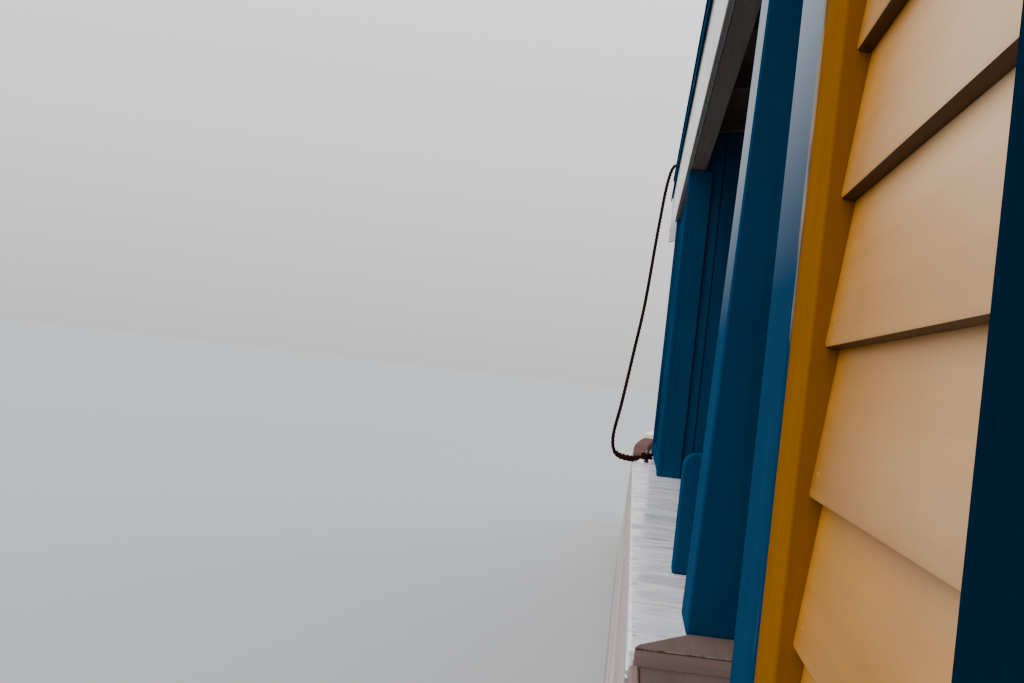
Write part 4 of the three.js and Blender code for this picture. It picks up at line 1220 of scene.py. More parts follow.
class CANALBOAT_OT_decks(Builder, bpy.types.Operator):
    """Lay the planks of both decks, with their caulking, toe rails and caps"""

    bl_idname = "canal_boat.decks"
    bl_label = "Decks and toe rails"

    def execute(self, context):
        for name, end in (("bow", BOW), ("stern", STERN)):
            self.deck(name, end)
            self.rail(name, end)
        return {"FINISHED"}

    def deck(self, name, end):
        half = side_half(LEDGE["top"] + RAIL_RISE) - RAIL_THICK - GAP
        reach = end["length"] - RAIL_THICK - GAP
        shoulder = HALF_LENGTH - end["length"]
        power = end["power"]
        base, caulk_top = HULL_TOP + GAP, DECK_TOP - 0.004
        well = end["sign"] * (WELL_END + GAP)

        def rim(y):
            along = (1 - min(abs(y) / half, 1.0) ** power) ** (1 / power)
            return (end["sign"] * (shoulder + reach * along), y)

        count = round(2 * half / self.sizes.deck_plank)
        samples = 4
        planks = Shape()
        for y0, y1 in lengths(divided(half, count), self.sizes.seam / 2):
            tips = [rim(y0 + (y1 - y0) * k / samples) for k in range(samples + 1)]
            planks.prism([(well, y1), (well, y0)] + tips, 2, base, DECK_TOP)
        make(name + "_deck_planks", planks, "deck", bevel=0.0022, segments=1,
             nodes=name + "_deck")
        inner = end_curve(end, half + RAIL_THICK + GAP, RAIL_THICK + GAP)
        caulking = Shape().prism([(well, half), *inner, (well, -half)], 2, base, caulk_top)
        make(name + "_deck_caulking", caulking, "caulk")

    def rail(self, name, end):
        straight = [end["sign"] * x for x in (LEDGE["end"] + GAP, WELL_END)]
        curve = [(0, x, i) for i, (x, _) in enumerate(end_curve(end, HALF_BOTTOM))]
        places = [(1, x, 0) for x in straight] + curve + [(-1, x, 0) for x in reversed(straight)]

        def rings(section, places):
            """The section at each place: beside the well on a side, or at a point of the end's curve."""
            result = []
            for side, x, point in places:
                ring = []
                for inset, z in section(x):
                    if side:
                        ring.append((x, side * (side_half(z) - inset), z))
                    else:
                        ring.append((*end_curve(end, side_half(z), inset)[point], z))
                result.append(ring)
            return result

        def rail_section(x):
            low, top, ease = HULL_TOP + GAP, sheer(x), 0.007
            return [(0.0, low), (0.0, top - ease), (ease, top), (RAIL_THICK - ease, top),
                    (RAIL_THICK, top - ease), (RAIL_THICK, low)]

        def cap_section(x):
            low, top, ease, over = sheer(x) + 0.0008, sheer(x) + 0.028, 0.008, 0.012
            outer, inner = -over, RAIL_THICK + over
            return [(outer + ease * 0.3, low), (outer, low + ease * 0.4), (outer, top - ease),
                    (outer + ease, top), (inner - ease, top), (inner, top - ease),
                    (inner, low + ease * 0.4), (inner - ease * 0.3, low)]

        make(name + "_rail", Shape().loft(rings(rail_section, places)), "taupe",
             nodes=name + "_toe_rail", sharp=25)
        skip = round(0.2 * END_STEPS)
        make(name + "_cap", Shape().loft(rings(cap_section, curve[skip:-skip])), "white_long",
             nodes=name + "_rail_cap", sharp=25)


class CANALBOAT_OT_gunwale(Builder, bpy.types.Operator):
    """Fit the white ledges, the brown covering boards, and the entrances' thresholds and steps"""

    bl_idname = "canal_boat.gunwale"
    bl_label = "Ledges and entrances"

    def execute(self, context):
        for name, side in SIDES:
            marks = [LEDGE["start"], 3.32, 5.28, LEDGE["end"]]
            make("ledge_boards_" + name, self.gunwale(side, 1, marks, LEDGE["outer"], LEDGE["top"]),
                 "ledge", bevel=0.006, segments=3, nodes="white_ledge_" + name)
            marks = [ENTRANCE["aft"] - GAP, -1.9, -4.4, -LEDGE["end"]]
            make("cover_boards_" + name, self.gunwale(side, -1, marks, BOARD["outer"], BOARD["top"]),
                 "taupe", bevel=0.004, nodes="covering_board_" + name)
            self.steps(name, side)
            self.threshold(name, side)
        return {"FINISHED"}

    def gunwale(self, side, sign, marks, outer, top):
        """Boards end to end between marks, and the tongue that runs on behind the toe rail."""
        base, under = HULL_TOP + GAP, 0.02
        shape = Shape()
        for a, b in zip(marks, marks[1:]):
            far = b if b == marks[-1] else b - sign * JOINT
            shape.side_box(side, (a, far), (LEDGE["inner"], outer), (base, top))
        tongue = (marks[-1] - sign * under, sign * WELL_END)
        return shape.side_box(side, tongue, (LEDGE["inner"], TONGUE), (base, top - 0.0002))

    def steps(self, name, side):
        """Two treads on risers and cheeks, from the threshold down to the floor."""
        aft, fore, back, tread = (ENTRANCE[key] for key in ("aft", "fore", "back", "tread"))
        upper, lower = ENTRANCE["heights"]
        riser, thick, lip = 0.02, 0.03, 0.012
        shape = Shape().side_box(side, (aft, LEDGE["start"] - GAP), (back - riser, back), (upper, HULL_TOP))
        for rear, top, below in ((back, upper, lower), (back - tread, lower, FLOOR_TOP)):
            front, under = rear - tread, top - thick
            shape.side_box(side, (aft, fore), (front - lip, rear - 0.001), (under, top))
            shape.side_box(side, (aft + 0.01, fore - 0.01), (front, front + riser), (below + CLEAR, under))
            for x in (aft + 0.012, fore - 0.042):
                shape.side_box(side, (x, x + thick), (front + riser, rear), (FLOOR_TOP + CLEAR, under))
        make("steps_" + name, shape, "steps", bevel=0.003, nodes="entry_steps_" + name)

    def threshold(self, name, side):
        """The threshold board with its nosing, and the covers of the ledge's near end: a worn sill plate, and
        an end board whose lighter paint is painted light on its aft face.
        """
        aft, fore, edge = ENTRANCE["aft"], LEDGE["start"] - GAP, ENTRANCE["edge"]
        inner, outer = 1.795, 2.006
        board = Shape().side_box(
            side, (aft, fore), (ENTRANCE["back"] - 0.02, edge), (HULL_TOP + GAP, BOARD["top"]))
        make("threshold_" + name, board, "threshold", bevel=0.004, segments=3)
        # The ledge's end faces aft, into shade; its lighter nosing paint is painted light.
        end = Shape().side_box(
            side, (fore - 0.004, fore - GAP), (inner, outer), (BOARD["top"] + GAP, LEDGE["top"]))
        make("ledge_end_" + name, end, "nosing")
        sill = [(fore - 0.005, inner), (fore - 0.005, outer), (1.296, 2.0), (1.448, 1.916), (1.448, inner)]
        plate = Shape().prism(
            [(x, side * y) for x, y in sill], 2, LEDGE["top"] + GAP, LEDGE["top"] + 0.0035)
        make("worn_sill_" + name, plate, "threshold", bevel=0.0012)
        nosing = Shape().side_box(
            side, (aft + 0.002, fore - 0.002), (edge + CLEAR, edge + 0.0165),
            (HULL_TOP + 0.002, BOARD["top"] + 0.0015))
        make("threshold_nosing_" + name, nosing, "nosing", bevel=0.005, segments=3)


class CANALBOAT_OT_floor(Builder, bpy.types.Operator):
    """Lay the inside floor's planks on their bearers"""

    bl_idname = "canal_boat.floor"
    bl_label = "Inside floor"

    def execute(self, context):
        half, thick = 1.94, 0.04
        rows = round(2 * half / self.sizes.floor_plank)
        pitch = 2 * half / rows
        reach = WELL_END - 0.0603
        plank, shift, shortest = 3.1, 1.24, 0.8
        places = []
        for row in range(rows):
            y = -half + (row + 0.5) * pitch
            butts = [-6.4 + plank * k + shift * (row % 3) for k in range(5)]
            inner = [x for x in butts if abs(x) < reach - shortest]
            for a, b in lengths([-reach, *inner, reach], BUTT):
                places.append(((a, y, FLOOR_TOP - thick / 2), b - a, (pi / 2, 0.0, 0.0)))
        boards("floor_boards", places, pitch - self.sizes.seam * 0.6, thick, "floor", 0.0025, 5,
               nodes="floor", slot="planks")
        bearers = Shape()
        half_bearer, height = 0.03, (BOTTOM_THICK + GAP, FLOOR_TOP - thick - CLEAR)
        for y in (1.7, 0.6, -0.6, -1.7):
            bearers.box((-reach, reach), (y - half_bearer, y + half_bearer), height)
        make("floor_bearers", bearers, "timber", bevel=0.004)
        return {"FINISHED"}


class CANALBOAT_OT_cabin_sides(Builder, bpy.types.Operator):
    """Clad the aft cabin's sides with lapped clapboards, window casings, lining and corner boards"""

    bl_idname = "canal_boat.cabin_sides"
    bl_label = "Clapboard sides"

    def execute(self, context):
        spans = window_spans()
        for name, side in SIDES:
            self.clapboards(name, side, spans)
            self.lining(name, side, spans)
            self.casings(name, side, spans)
            for end, _ in ENDS:
                softened(f"corner_board_{end}_{name}", "ochre", 0.0035, 3)
            turned = Shape().side_box(
                side, (-WELL_END - 0.02, -WELL_END - GAP), (CABIN["lining"] - 0.05, 1.914),
                (DECK_TOP + 0.001, GABLE["bottom"] - 0.004))
            make("corner_return_" + name, turned, "ochre", bevel=0.0035, segments=3)
        return {"FINISHED"}

    def clapboards(self, name, side, spans):
        """Lapped boards between the corner boards and the window casings, nailed at each stud."""
        exposure, thick = self.sizes.exposure, self.sizes.lap_thickness
        overlap, kick, stud, margin, shortest = 0.016, 0.012, 0.61, 0.03, 0.5
        tilt = atan(kick / exposure)
        width = exposure + overlap
        y = side * (LAP["butt"] - thick / 2 - sin(tilt) * width / 2)
        nail_y, nail_rise = side * (LAP["butt"] - 0.0022), 0.02
        places, nails = [], []
        for row in range(LAP["rows"]):
            z = LAP["first"] + row * exposure
            cuts = list(CLAD)
            if z + min(width, EAVE["bottom"] - z) > WINDOW["bottom"] and z < WINDOW["top"]:
                casings = [x for a, b in reversed(spans) for x in (a - CASING["width"], b + CASING["width"])]
                cuts[1:1] = casings
            butts = (-6.35 + stud * (row % 3), -4.05 - stud * (row % 2), -1.95 + stud * (row % 4))
            for a, b in zip(cuts[::2], cuts[1::2]):
                inner = [x for x in butts if a + shortest < x < b - shortest]
                for c, d in zip([a, *inner], [*inner, b]):
                    start = (c + BUTT / 2, y, z + cos(tilt) * width / 2)
                    places.append((start, d - c - BUTT, (side * tilt, 0.0, 0.0)))
                    nailed = d - c - 2 * margin
                    bays = max(1, round(nailed / stud))
                    nails += [((c + margin + k * nailed / bays, nail_y, z + nail_rise), (0.0, side, 0.1))
                              for k in range(bays + 1)]
        boards("clapboards_" + name, places, width, thick, "clapboard", 0.0035, 7 + side,
               nodes="cabin_wall_" + name, slot="clapboard")
        heads("clapboard_nails_" + name, nails, self.sizes.nail, 0.001, "clapboard", 8, 0.6)

    def lining(self, name, side, spans):
        """The inner skin, with the windows left open, and the strip that starts the clapboards."""
        wall, skin = (-WELL_END, CABIN["fore"]), (CABIN["lining"], 1.8597)
        low, high = WINDOW["bottom"], WINDOW["top"]
        foot = BOARD["top"] + GAP
        shape = Shape().side_box(side, wall, skin, (foot, low))
        shape.side_box(side, wall, skin, (high, EAVE["bottom"]))
        marks = [wall[0], *(x for span in reversed(spans) for x in span), wall[1]]
        for a, b in zip(marks[::2], marks[1::2]):
            shape.side_box(side, (a, b), skin, (low, high))
        shape.side_box(side, CLAD, (1.862, 1.894), (foot, LAP["first"] + 0.012))
        make("cabin_lining_" + name, shape, "lining")

    def casings(self, name, side, spans):
        """Flat boards round each window, with a sloping sill, a cap over the head and inner stops."""
        wide, outer, back = CASING["width"], CASING["outer"], CABIN["lining"]
        low, high, top = WINDOW["bottom"], WINDOW["top"], WINDOW["top"] + wide
        stop, horn, front = 0.018, 0.012, outer + 0.03
        sill = [(back - 0.02, low), (front, low - 0.012), (front, low - 0.032), (back - 0.02, low - 0.028)]
        cap = [(outer - 0.02, top + 0.022), (outer + 0.024, top + 0.006), (outer + 0.024, top - 0.004),
               (outer - 0.02, top)]
        upright, level, stops = Shape(), Shape(), Shape()
        nails = []
        for a, b in spans:
            for x0, x1 in ((a - wide, a), (b, b + wide)):
                upright.side_box(side, (x0, x1), (back - 0.004, outer), (low - 0.001, high))
                nails += [((x, side * (outer + 0.0004), z), (0, side, 0)) for x in (x0 + 0.02, x1 - 0.02)
                          for z in (low + 0.06, low + 0.34, low + 0.62, high - 0.05)]
            level.side_box(side, (a - wide, b + wide), (back - 0.004, outer + 0.002), (high, top))
            level.side_box(side, (a - wide, b + wide), (1.88, outer - 0.001), (1.245, low - 0.026))
            for outline in (sill, cap):
                level.prism([(side * y, z) for y, z in outline], 0, a - wide - horn, b + wide + horn)
            for x0, x1, z0, z1 in ((a, a + stop, low, high - stop), (b - stop, b, low, high - stop),
                                   (a, b, high - stop, high)):
                stops.side_box(side, (x0, x1), (1.868, 1.886), (z0, z1))
        # The casings, heads and stops take the darkened blue, a painted shade.
        make("window_casings_" + name, upright, "navy_casing", bevel=0.005, segments=3)
        make("window_heads_" + name, level, "navy_casing_long", bevel=0.004)
        make("window_stops_" + name, stops, "navy_casing", bevel=0.003)
        heads("casing_nails_" + name, nails, self.sizes.nail, 0.0014, "navy_casing", 8, 0.6)


class CANALBOAT_OT_posts(Builder, bpy.types.Operator):
    """Finish the entrance posts and the fore cabin's walls, with their corner trims"""

    bl_idname = "canal_boat.posts"
    bl_label = "Posts and fore cabin"

    def execute(self, context):
        for name, side in SIDES:
            for post, draw in (("post_entrance_aft_", 0.0), ("post_entrance_fore_", POST_DRAW)):
                softened(post + name, "navy_glossy", 0.006, 3, draw=draw)
            softened("fore_cabin_wall_" + name, "navy_side_boards")
            self.trims(name, side)
        for cabin in ("cabin_fore", "cabin_aft", "fore_cabin_aft", "fore_cabin_front"):
            mesh = frame["nodes"][cabin + "_bulkhead"].data
            mesh.materials.clear()
            mesh.materials.append(FINISHES["navy_boards"])
        self.door_trims()
        return {"FINISHED"}

    def trims(self, name, side):
        """Corner boards and skirting on the fore cabin's side."""
        aft, wall, wide = FORE_CABIN["aft"], FORE_CABIN["wall"], 0.11
        back, fore = wall - 0.004, WELL_END - 0.125
        foot, head = LEDGE["top"] + CLEAR, EAVE["bottom"] - CLEAR
        far = Shape().side_box(side, (fore, WELL_END + 0.002), (back, wall + 0.02), (foot, head))
        make("fore_cabin_corner_" + name, far, "navy_glossy", bevel=0.005, segments=3)
        near = Shape().side_box(side, (aft - 0.012, aft + wide), (back, wall + 0.02), (foot, head))
        near.side_box(side, (aft - 0.016, aft + 0.006), (wall - 0.09, back), (foot, head))
        near.side_box(side, (aft + wide, fore), (back, wall + 0.014), (foot, foot + 0.075))
        make("fore_cabin_trims_" + name, near, "navy_upright", bevel=0.004, segments=3)

    def door_trims(self):
        """Flat casings round the two inner doorways."""
        wide, proud, half, head, overhang = 0.085, 0.018, 0.4, 2.4, 0.012
        fore, aft, thick = CABIN["fore"], FORE_CABIN["aft"], 0.06
        doorways = {"cabin": ((fore, 1), (fore - thick, -1)), "fore_cabin": ((aft, -1), (aft + thick, 1))}
        for name, faces in doorways.items():
            shape = Shape()
            for face, way in faces:
                xs = (face, face + way * proud)
                for _, side in SIDES:
                    shape.side_box(side, xs, (half, half + wide), (FLOOR_TOP + 0.001, head))
                edge = half + wide + overhang
                shape.box(xs, (-edge, edge), (head, head + wide))
            make(name + "_doorway_casing", shape, "navy_upright", bevel=0.003)


class CANALBOAT_OT_roof(Builder, bpy.types.Operator):
    """Build the roof: eave plates, white fascias, blue edge boards, canvas, ceiling, frame and gables"""

    bl_idname = "canal_boat.roof"
    bl_label = "Roof and eaves"

    def execute(self, context):
        for name, side in SIDES:
            self.eave(name, side)
        self.canvas()
        self.ceiling()
        softened("roof_frame", "timber_across", 0.005, 2)
        for end, sign in ENDS:
            self.gable(end, sign)
        return {"FINISHED"}

    def eave(self, name, side):
        """The plate that carries the roof, the canted fascia, the edge board and its drip strip."""
        low, high, edge = EAVE["bottom"], EAVE["top"], ROOF["edge"]
        plate = Shape().side_box(
            side, (-WELL_END, WELL_END), (EAVE["inner"], EAVE["plate"]), (low + GAP, high))
        make("eave_plate_" + name, plate, "timber", bevel=0.004)
        canted = [(FASCIA["back"], low - 0.006), (FASCIA["foot"], low - 0.006), (FASCIA["head"], high),
                  (FASCIA["back"], high)]
        top = cambered(ROOF["crown"], edge) - 0.007
        fascia, board, drip = Shape(), Shape(), Shape()
        for run in lengths([-WELL_END, -3.1, 1.42, 5.2, WELL_END], 0.0006):
            fascia.prism([(side * y, z) for y, z in canted], 0, *run)
            board.side_box(side, run, (edge - ROOF["edge_thick"], edge), (high + GAP, top))
            drip.side_box(side, run, (edge + GAP, edge + 0.0055), (high - 0.021, high + 0.01))
        make("fascia_" + name, fascia, "white_long", bevel=0.003, nodes="eave_beam_" + name)
        make("roof_edge_boards_" + name, board, "navy_long", bevel=0.004)
        make("roof_drip_" + name, drip, "navy_long", bevel=0.002)
        cant = 0.2
        nails = [((x, side * (FASCIA["foot"] + cant * (z - low)), z), (0, side, -cant))
                 for x in spaced(-WELL_END + 0.15, WELL_END, 0.46) for z in (2.612, 2.68)]
        heads("fascia_nails_" + name, nails, self.sizes.nail, 0.0014, "white_long", 8, 0.6)

    def canvas(self):
        """Canvas over the roof in lapped widths, held at the edge boards by battens."""
        edge, steps = ROOF["edge"] - 0.001, 44
        ys = divided(edge, steps)
        reach = WELL_END + GABLE["thick"]
        count = round(2 * reach / canvas_width())
        shape = Shape()
        for start, end in lengths(divided(reach, count)):
            lapped = start - (CANVAS["lap"] if start > -reach else 0.0)
            rings = []
            for x, lift in ((lapped, CANVAS["lift"]), (end, 0.0)):
                outer = [(x, y, cambered(ROOF["crown"], y) + lift) for y in ys]
                rings.append(outer + [(x, y, z - CANVAS["thick"]) for x, y, z in reversed(outer)])
            shape.loft(rings)
        make("roof_canvas", shape, "canvas", nodes="roof", sharp=60)
        reach = WELL_END + 0.02
        for name, side in SIDES:
            z = cambered(ROOF["crown"], ROOF["edge"]) - 0.014
            batten = Shape().tube([(x, side * edge, z) for x in (-reach, 0.0, reach)], 0.007)
            make("canvas_batten_" + name, batten, "navy_long", sharp=50)

    def ceiling(self):
        """Boards under the roof, laid along it and following its arc."""
        radius = ROOF_RADIUS - ROOF["thick"]
        middle, thick = radius + 0.011, 0.02
        half = asin(1.905 / radius)
        count = round(2 * half * radius / self.sizes.ceiling_board)
        places = []
        for i in range(count):
            angle = -half + 2 * half * (i + 0.5) / count
            y, z = middle * sin(angle), ROOF["crown"] - ROOF_RADIUS + middle * cos(angle)
            marks = [-WELL_END, -2.6 + 0.9 * (i % 3), 3.1 - 0.9 * (i % 2), WELL_END]
            places += [((a, y, z), b - a, (pi / 2 - angle, 0.0, 0.0)) for a, b in lengths(marks, BUTT)]
        width = 2 * half * radius / count - 0.003
        boards("ceiling_boards", places, width, thick, "ceiling", 0.003, 9, slot="timber")

    def gable(self, end, sign):
        """The board that closes the roof's end, arched below, with a bead along its arch."""
        chord = GABLE["outer"]
        rise = GABLE["crown"] - GABLE["bottom"]
        radius = (chord**2 + rise**2) / (2 * rise)
        steps = 40
        ys = divided(chord, steps)
        lower = [(y, GABLE["crown"] - (radius - sqrt(radius**2 - y**2))) for y in ys]
        upper = [(y, cambered(ROOF["crown"], y) - CANVAS["thick"]) for y in reversed(ys)]
        x0, x1 = sign * (WELL_END + GAP), sign * (WELL_END + GABLE["thick"])
        make("gable_board_" + end, Shape().prism(lower + upper, 0, x0, x1), "white_board",
             bevel=0.003, nodes="gable_" + end)
        bead = Shape().tube([(x1 + sign * 0.004, y, z + 0.022) for y, z in lower], 0.009, 10)
        make("gable_bead_" + end, bead, "white_board", sharp=50)


class CANALBOAT_OT_doors(Builder, bpy.types.Operator):
    """Build the two end doors with ledges, strap hinges and ring handles, and trim their doorways"""

    bl_idname = "canal_boat.doors"
    bl_label = "Doors"

    def execute(self, context):
        for end, sign in ENDS:
            self.door(end, sign)
            self.doorway(end, sign)
        return {"FINISHED"}

    def door(self, end, sign):
        """Upright boards, and what is fixed to their back and face."""
        edge = DOORWAY["half"] + DOOR["lap"]
        back = WELL_END + DOOR["clear"]
        face = back + DOOR["thick"]
        low, high = DOORWAY["sill"] + 0.008, DOORWAY["head"] + DOOR["lap"]
        count = max(2, round(2 * edge / self.sizes.door_board))
        leaf = Shape()
        for ys in lengths(divided(edge, count), 0.0004):
            leaf.end_box(sign, (back + 0.016, face), ys, (low, high))
        make("door_boards_" + end, leaf, "navy_upright", body=end + "_door", bevel=0.004,
             nodes="door_" + end)
        self.ledges(end, sign, back, edge, (low, high))
        self.straps(end, sign, face, edge)
        self.handle(end, sign, face)

    def ledges(self, end, sign, back, edge, heights):
        """Ledges across the door's back, and the strips that close the slots round it."""
        xs, inside, ledge_half = (back, back + 0.0165), DOORWAY["half"] - 0.012, DOORWAY["half"] - 0.02
        low, high = heights
        shape = Shape()
        for z in (low + 0.12, (low + high) / 2 - 0.05, high - 0.24):
            shape.end_box(sign, xs, (-ledge_half, ledge_half), (z, z + 0.1))
        low, high, edge = low + 0.001, high - 0.001, edge - 0.001
        for ys in ((-edge, -inside), (inside, edge)):
            shape.end_box(sign, xs, ys, (low, high))
        for zs in ((low, low + 0.049), (DOORWAY["head"] - 0.02, high)):
            shape.end_box(sign, xs, (-inside, inside), zs)
        make("door_ledges_" + end, shape, "navy_upright", body=end + "_door", bevel=0.003)

    def straps(self, end, sign, face, edge):
        """Strap hinges with spear ends, their eyes round the pins, and their bolts."""
        root, tip, half = HINGE["y"], edge - DOOR["strap"], HINGE["height"] / 2
        rim = [(root, half), (root - 0.1, half), (tip + 0.05, 0.012), (tip + 0.03, 0.02)]
        shape, bolts = Shape(), []
        for z in HINGE["heights"]:
            middle = z + half
            outline = [(y, middle - out) for y, out in rim] + [(tip, middle)]
            outline += [(y, middle + out) for y, out in reversed(rim)]
            shape.prism(outline, 0, sign * (face - 0.001), sign * (face + 0.006))
            arm = (face - 0.001, HINGE["x"] - 0.011)
            shape.end_box(sign, arm, (root - 0.02, root - 0.0125), (z, z + HINGE["height"]))
            self.eye(shape, sign, z)
            bolts += [((sign * (face + 0.008), y, middle), (sign, 0, 0)) for y in (0.31, 0.2, 0.1, 0.02)]
        make("door_straps_" + end, shape, "iron", body=end + "_door")
        heads("door_bolts_" + end, bolts, 0.016, 0.006, "iron", 8, 0.7, body=end + "_door")

    def eye(self, shape, sign, low):
        """The strap's eye round the hinge pin."""
        x, y, high = sign * HINGE["x"], HINGE["y"], low + HINGE["height"]
        section = ((HINGE["eye"], low), (HINGE["eye"], high), (HINGE["bore"], high), (HINGE["bore"], low))
        shape.loft([
            [(x + radius * cos(turn), y + radius * sin(turn), z) for turn in turns(28)]
            for radius, z in section
        ], closed=True)

    def handle(self, end, sign, face):
        """A ring on a round plate."""
        y, z = -DOORWAY["half"] + 0.06, 1.95
        plate, stud, ring = 0.032, 0.008, 0.03
        shape = Shape()
        disc = [(y + plate * cos(turn), z + plate * sin(turn)) for turn in turns(24)]
        shape.prism(disc, 0, sign * (face - 0.001), sign * (face + 0.005))
        shape.tube([(sign * (face + 0.004), y, z + 0.004), (sign * (face + 0.02), y, z + 0.004)], stud)
        hanging = [(sign * (face + 0.016), y + ring * sin(turn), z - 0.022 + ring * cos(turn))
                   for turn in turns(28)]
        shape.tube(hanging, 0.0045, 10, closed=True)
        make("door_handle_" + end, shape, "iron", body=end + "_door", sharp=40)

    def doorway(self, end, sign):
        """Casings beside the doorway, clear of the door, and the strip on its sill."""
        sill, head, inside = DOORWAY["sill"], 2.4, DOORWAY["half"] - 0.002
        edge = DOORWAY["half"] + DOOR["lap"] + 0.008
        wall, strip = WELL_END + CLEAR, (WELL_END - 0.05, WELL_END - CLEAR)
        shape = Shape().end_box(sign, (wall, WELL_END + 0.03), (-edge, -edge - 0.07), (sill, head))
        shape.end_box(sign, (wall, WELL_END + 0.022), (edge + 0.08, edge + 0.13), (sill, head))
        shape.end_box(sign, strip, (-inside, inside), (sill + CLEAR, sill + 0.018))
        make("doorway_trim_" + end, shape, "navy_upright", bevel=0.003)


class CANALBOAT_OT_benches(Builder, bpy.types.Operator):
    """Build the slatted benches of the open section and the cabin, with their end boards"""

    bl_idname = "canal_boat.benches"
    bl_label = "Benches"

    def execute(self, context):
        low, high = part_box("open_bench_port")
        board = 0.055
        for name, side in SIDES:
            self.bench("open_bench_" + name, side, low.x + board, high.x, "navy_long", "navy")
            self.end_board(name, side, low.x)
            cabin_low, cabin_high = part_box("cabin_bench_" + name)
            self.bench("cabin_bench_" + name, side, cabin_low.x, cabin_high.x, "timber", "timber")
        return {"FINISHED"}

    def bench(self, node, side, start, end, finish, slot):
        """Slats in two lengths on rails and legs."""
        inner, outer, seat = BENCH["inner"], BENCH["outer"], BENCH["seat"]
        wide, thick, least_gap = self.sizes.slat, 0.028, 0.006
        count = int((outer - inner) // (wide + least_gap))
        gap = (outer - inner - count * wide) / (count - 1)
        half = (end - start) / 2
        places = [
            ((start + k * half + 0.001, side * (inner + wide / 2 + i * (wide + gap)), seat - thick / 2),
             half - 0.002, (pi / 2, 0.0, 0.0))
            for i in range(count)
            for k in range(2)
        ]
        boards(node + "_slats", places, wide, thick, finish, 0.005, 11, nodes=node, slot=slot)
        top, leg = seat - thick - CLEAR, 0.05
        under = Shape().side_box(side, (start, end), (inner + 0.008, inner + 0.03), (seat - 0.12, top))
        under.side_box(side, (start, end), (outer - 0.03, outer - 0.006), (seat - 0.12, top))
        for i in range(4):
            x = start + (end - start - leg) * i / 3
            under.side_box(side, (x, x + leg), (inner + 0.04, outer - 0.01), (FLOOR_TOP + CLEAR, top))
        make(node + "_legs", under, finish, bevel=0.004)

    def end_board(self, name, side, start):
        """The upright board at the bench's near end, over the ledge, with rounded top corners."""
        inner, outer, low = BENCH["inner"], BENCH["outer"], FLOOR_TOP + CLEAR
        above, top, out, thick = LEDGE["top"] + GAP, 1.42, 1.925, 0.06
        small, large = 0.03, 0.06
        quarter = [pi / 2 * k / 5 for k in range(6)]
        outline = [(inner, low), (outer, low), (outer, above), (out, above)]
        outline += [(out - small + small * sin(t), top - small + small * cos(t))
                    for t in reversed(quarter)]
        outline += [(inner + large - large * sin(t), top - large + large * cos(t)) for t in quarter]
        shape = Shape().prism([(side * y, z) for y, z in outline], 0, start, start + thick)
        make("bench_end_board_" + name, shape, "navy_upright", bevel=0.006, segments=3)


class CANALBOAT_OT_fittings(Builder, bpy.types.Operator):
    """Fit the horn cleats, the towing bitt, and the stem with its band and bolts"""

    bl_idname = "canal_boat.fittings"
    bl_label = "Cleats, bitt and stem"

    def execute(self, context):
        for end, x, z in (("fore", CLEAT["x"], LEDGE["top"]), ("aft", -CLEAT["x"], BOARD["top"])):
            for name, side in SIDES:
                self.cleat(f"cleat_{end}_{name}", Matrix.Translation((x, side * CLEAT["y"], z)))
        for name, side in SIDES:
            self.cleat("roof_cleat_" + name, roof_seat(side))
        self.bitt()
        self.stem()
        return {"FINISHED"}

    def cleat(self, node, place):
        """A horn cleat with two splayed necks on an oval foot."""
        horn_half, thick, tip, points = 0.0745, 0.0105, 0.0035, 24
        shape = Shape()
        spots = divided(1, points)
        sizes = [thick - 0.0045 * abs(t) ** 1.7 if abs(t) < 0.99 else tip for t in spots]
        shape.tube([(horn_half * t, 0.0, 0.0515 + 0.004 * t * t) for t in spots], sizes, 14)
        neck = ((0.021, 0.004, 0.0125), (0.0165, 0.016, 0.009), (0.014, 0.03, 0.0078),
                (0.0135, 0.042, 0.0085), (0.012, 0.05, 0.009))
        for side in (-1, 1):
            shape.tube([(side * x, 0.0, z) for x, z, _ in neck], [radius for _, _, radius in neck], 14)
        foot_length, foot_width = 0.045, 0.0135
        shape.loft([
            [(foot_length * part * cos(turn), foot_width * part * sin(turn), z)
             for turn in turns(32)]
            for part, z in ((1.0, 0.0005), (1.0, 0.006), (0.86, 0.0105), (0.5, 0.012))
        ])
        shape.points = [tuple(place @ Vector(p)) for p in shape.points]
        make(node + "_forged", shape, "iron", nodes=node, sharp=45)

    def bitt(self):
        """The towing post with its moulded head, its cross bar and the bands at its foot."""
        x, half, base, top = BITT["x"], BITT["side"] / 2, DECK_TOP + GAP, BITT["top"]
        head = half + 0.012

        def square(h, z):
            return [(x - h, -h, z), (x + h, -h, z), (x + h, h, z), (x - h, h, z)]

        levels = [(half, base), (half, top - 0.06), (head, top - 0.055), (head, top - 0.03),
                  (half * 0.35, top)]
        post = Shape().loft([square(h, z) for h, z in levels])
        make("bitt_post", post, "timber_upright", bevel=0.006, nodes="towing_bitt")
        spots = ((0.25, 0.022), (0.235, 0.028), (0.12, 0.03))
        ends = [(-y, radius) for y, radius in spots] + [(0.0, 0.03)] + [*reversed(spots)]
        bar = Shape().tube([(x, y, top - 0.16) for y, _ in ends], [radius for _, radius in ends], 20)
        make("bitt_bar", bar, "timber_across", sharp=50)
        bands = Shape()
        inner, outer, high = half + CLEAR, half + 0.005, 0.035
        for z in (base + 0.002, base + 0.1):
            section = ((inner, z), (outer, z), (outer, z + high), (inner, z + high))
            bands.loft([square(h, v) for h, v in section], closed=True)
        make("bitt_bands", bands, "iron", sharp=30)

    def stem(self):
        face, half, foot, head = HALF_LENGTH + GAP + 0.12, 0.03, 0.08, 1.3
        softened("stem_timber", "timber_upright", 0.008, 3)
        band = Shape().box((face, face + 0.006), (-half, half), (foot, head))
        make("stem_band", band, "iron", bevel=0.002)
        bolts = [((face + 0.009, 0.0, z), (1, 0, 0)) for z in (0.2, 0.45, 0.7, 0.95, 1.2)]
        heads("stem_bolts", bolts, self.sizes.bolt, 0.007, "iron", 6, 0.92)


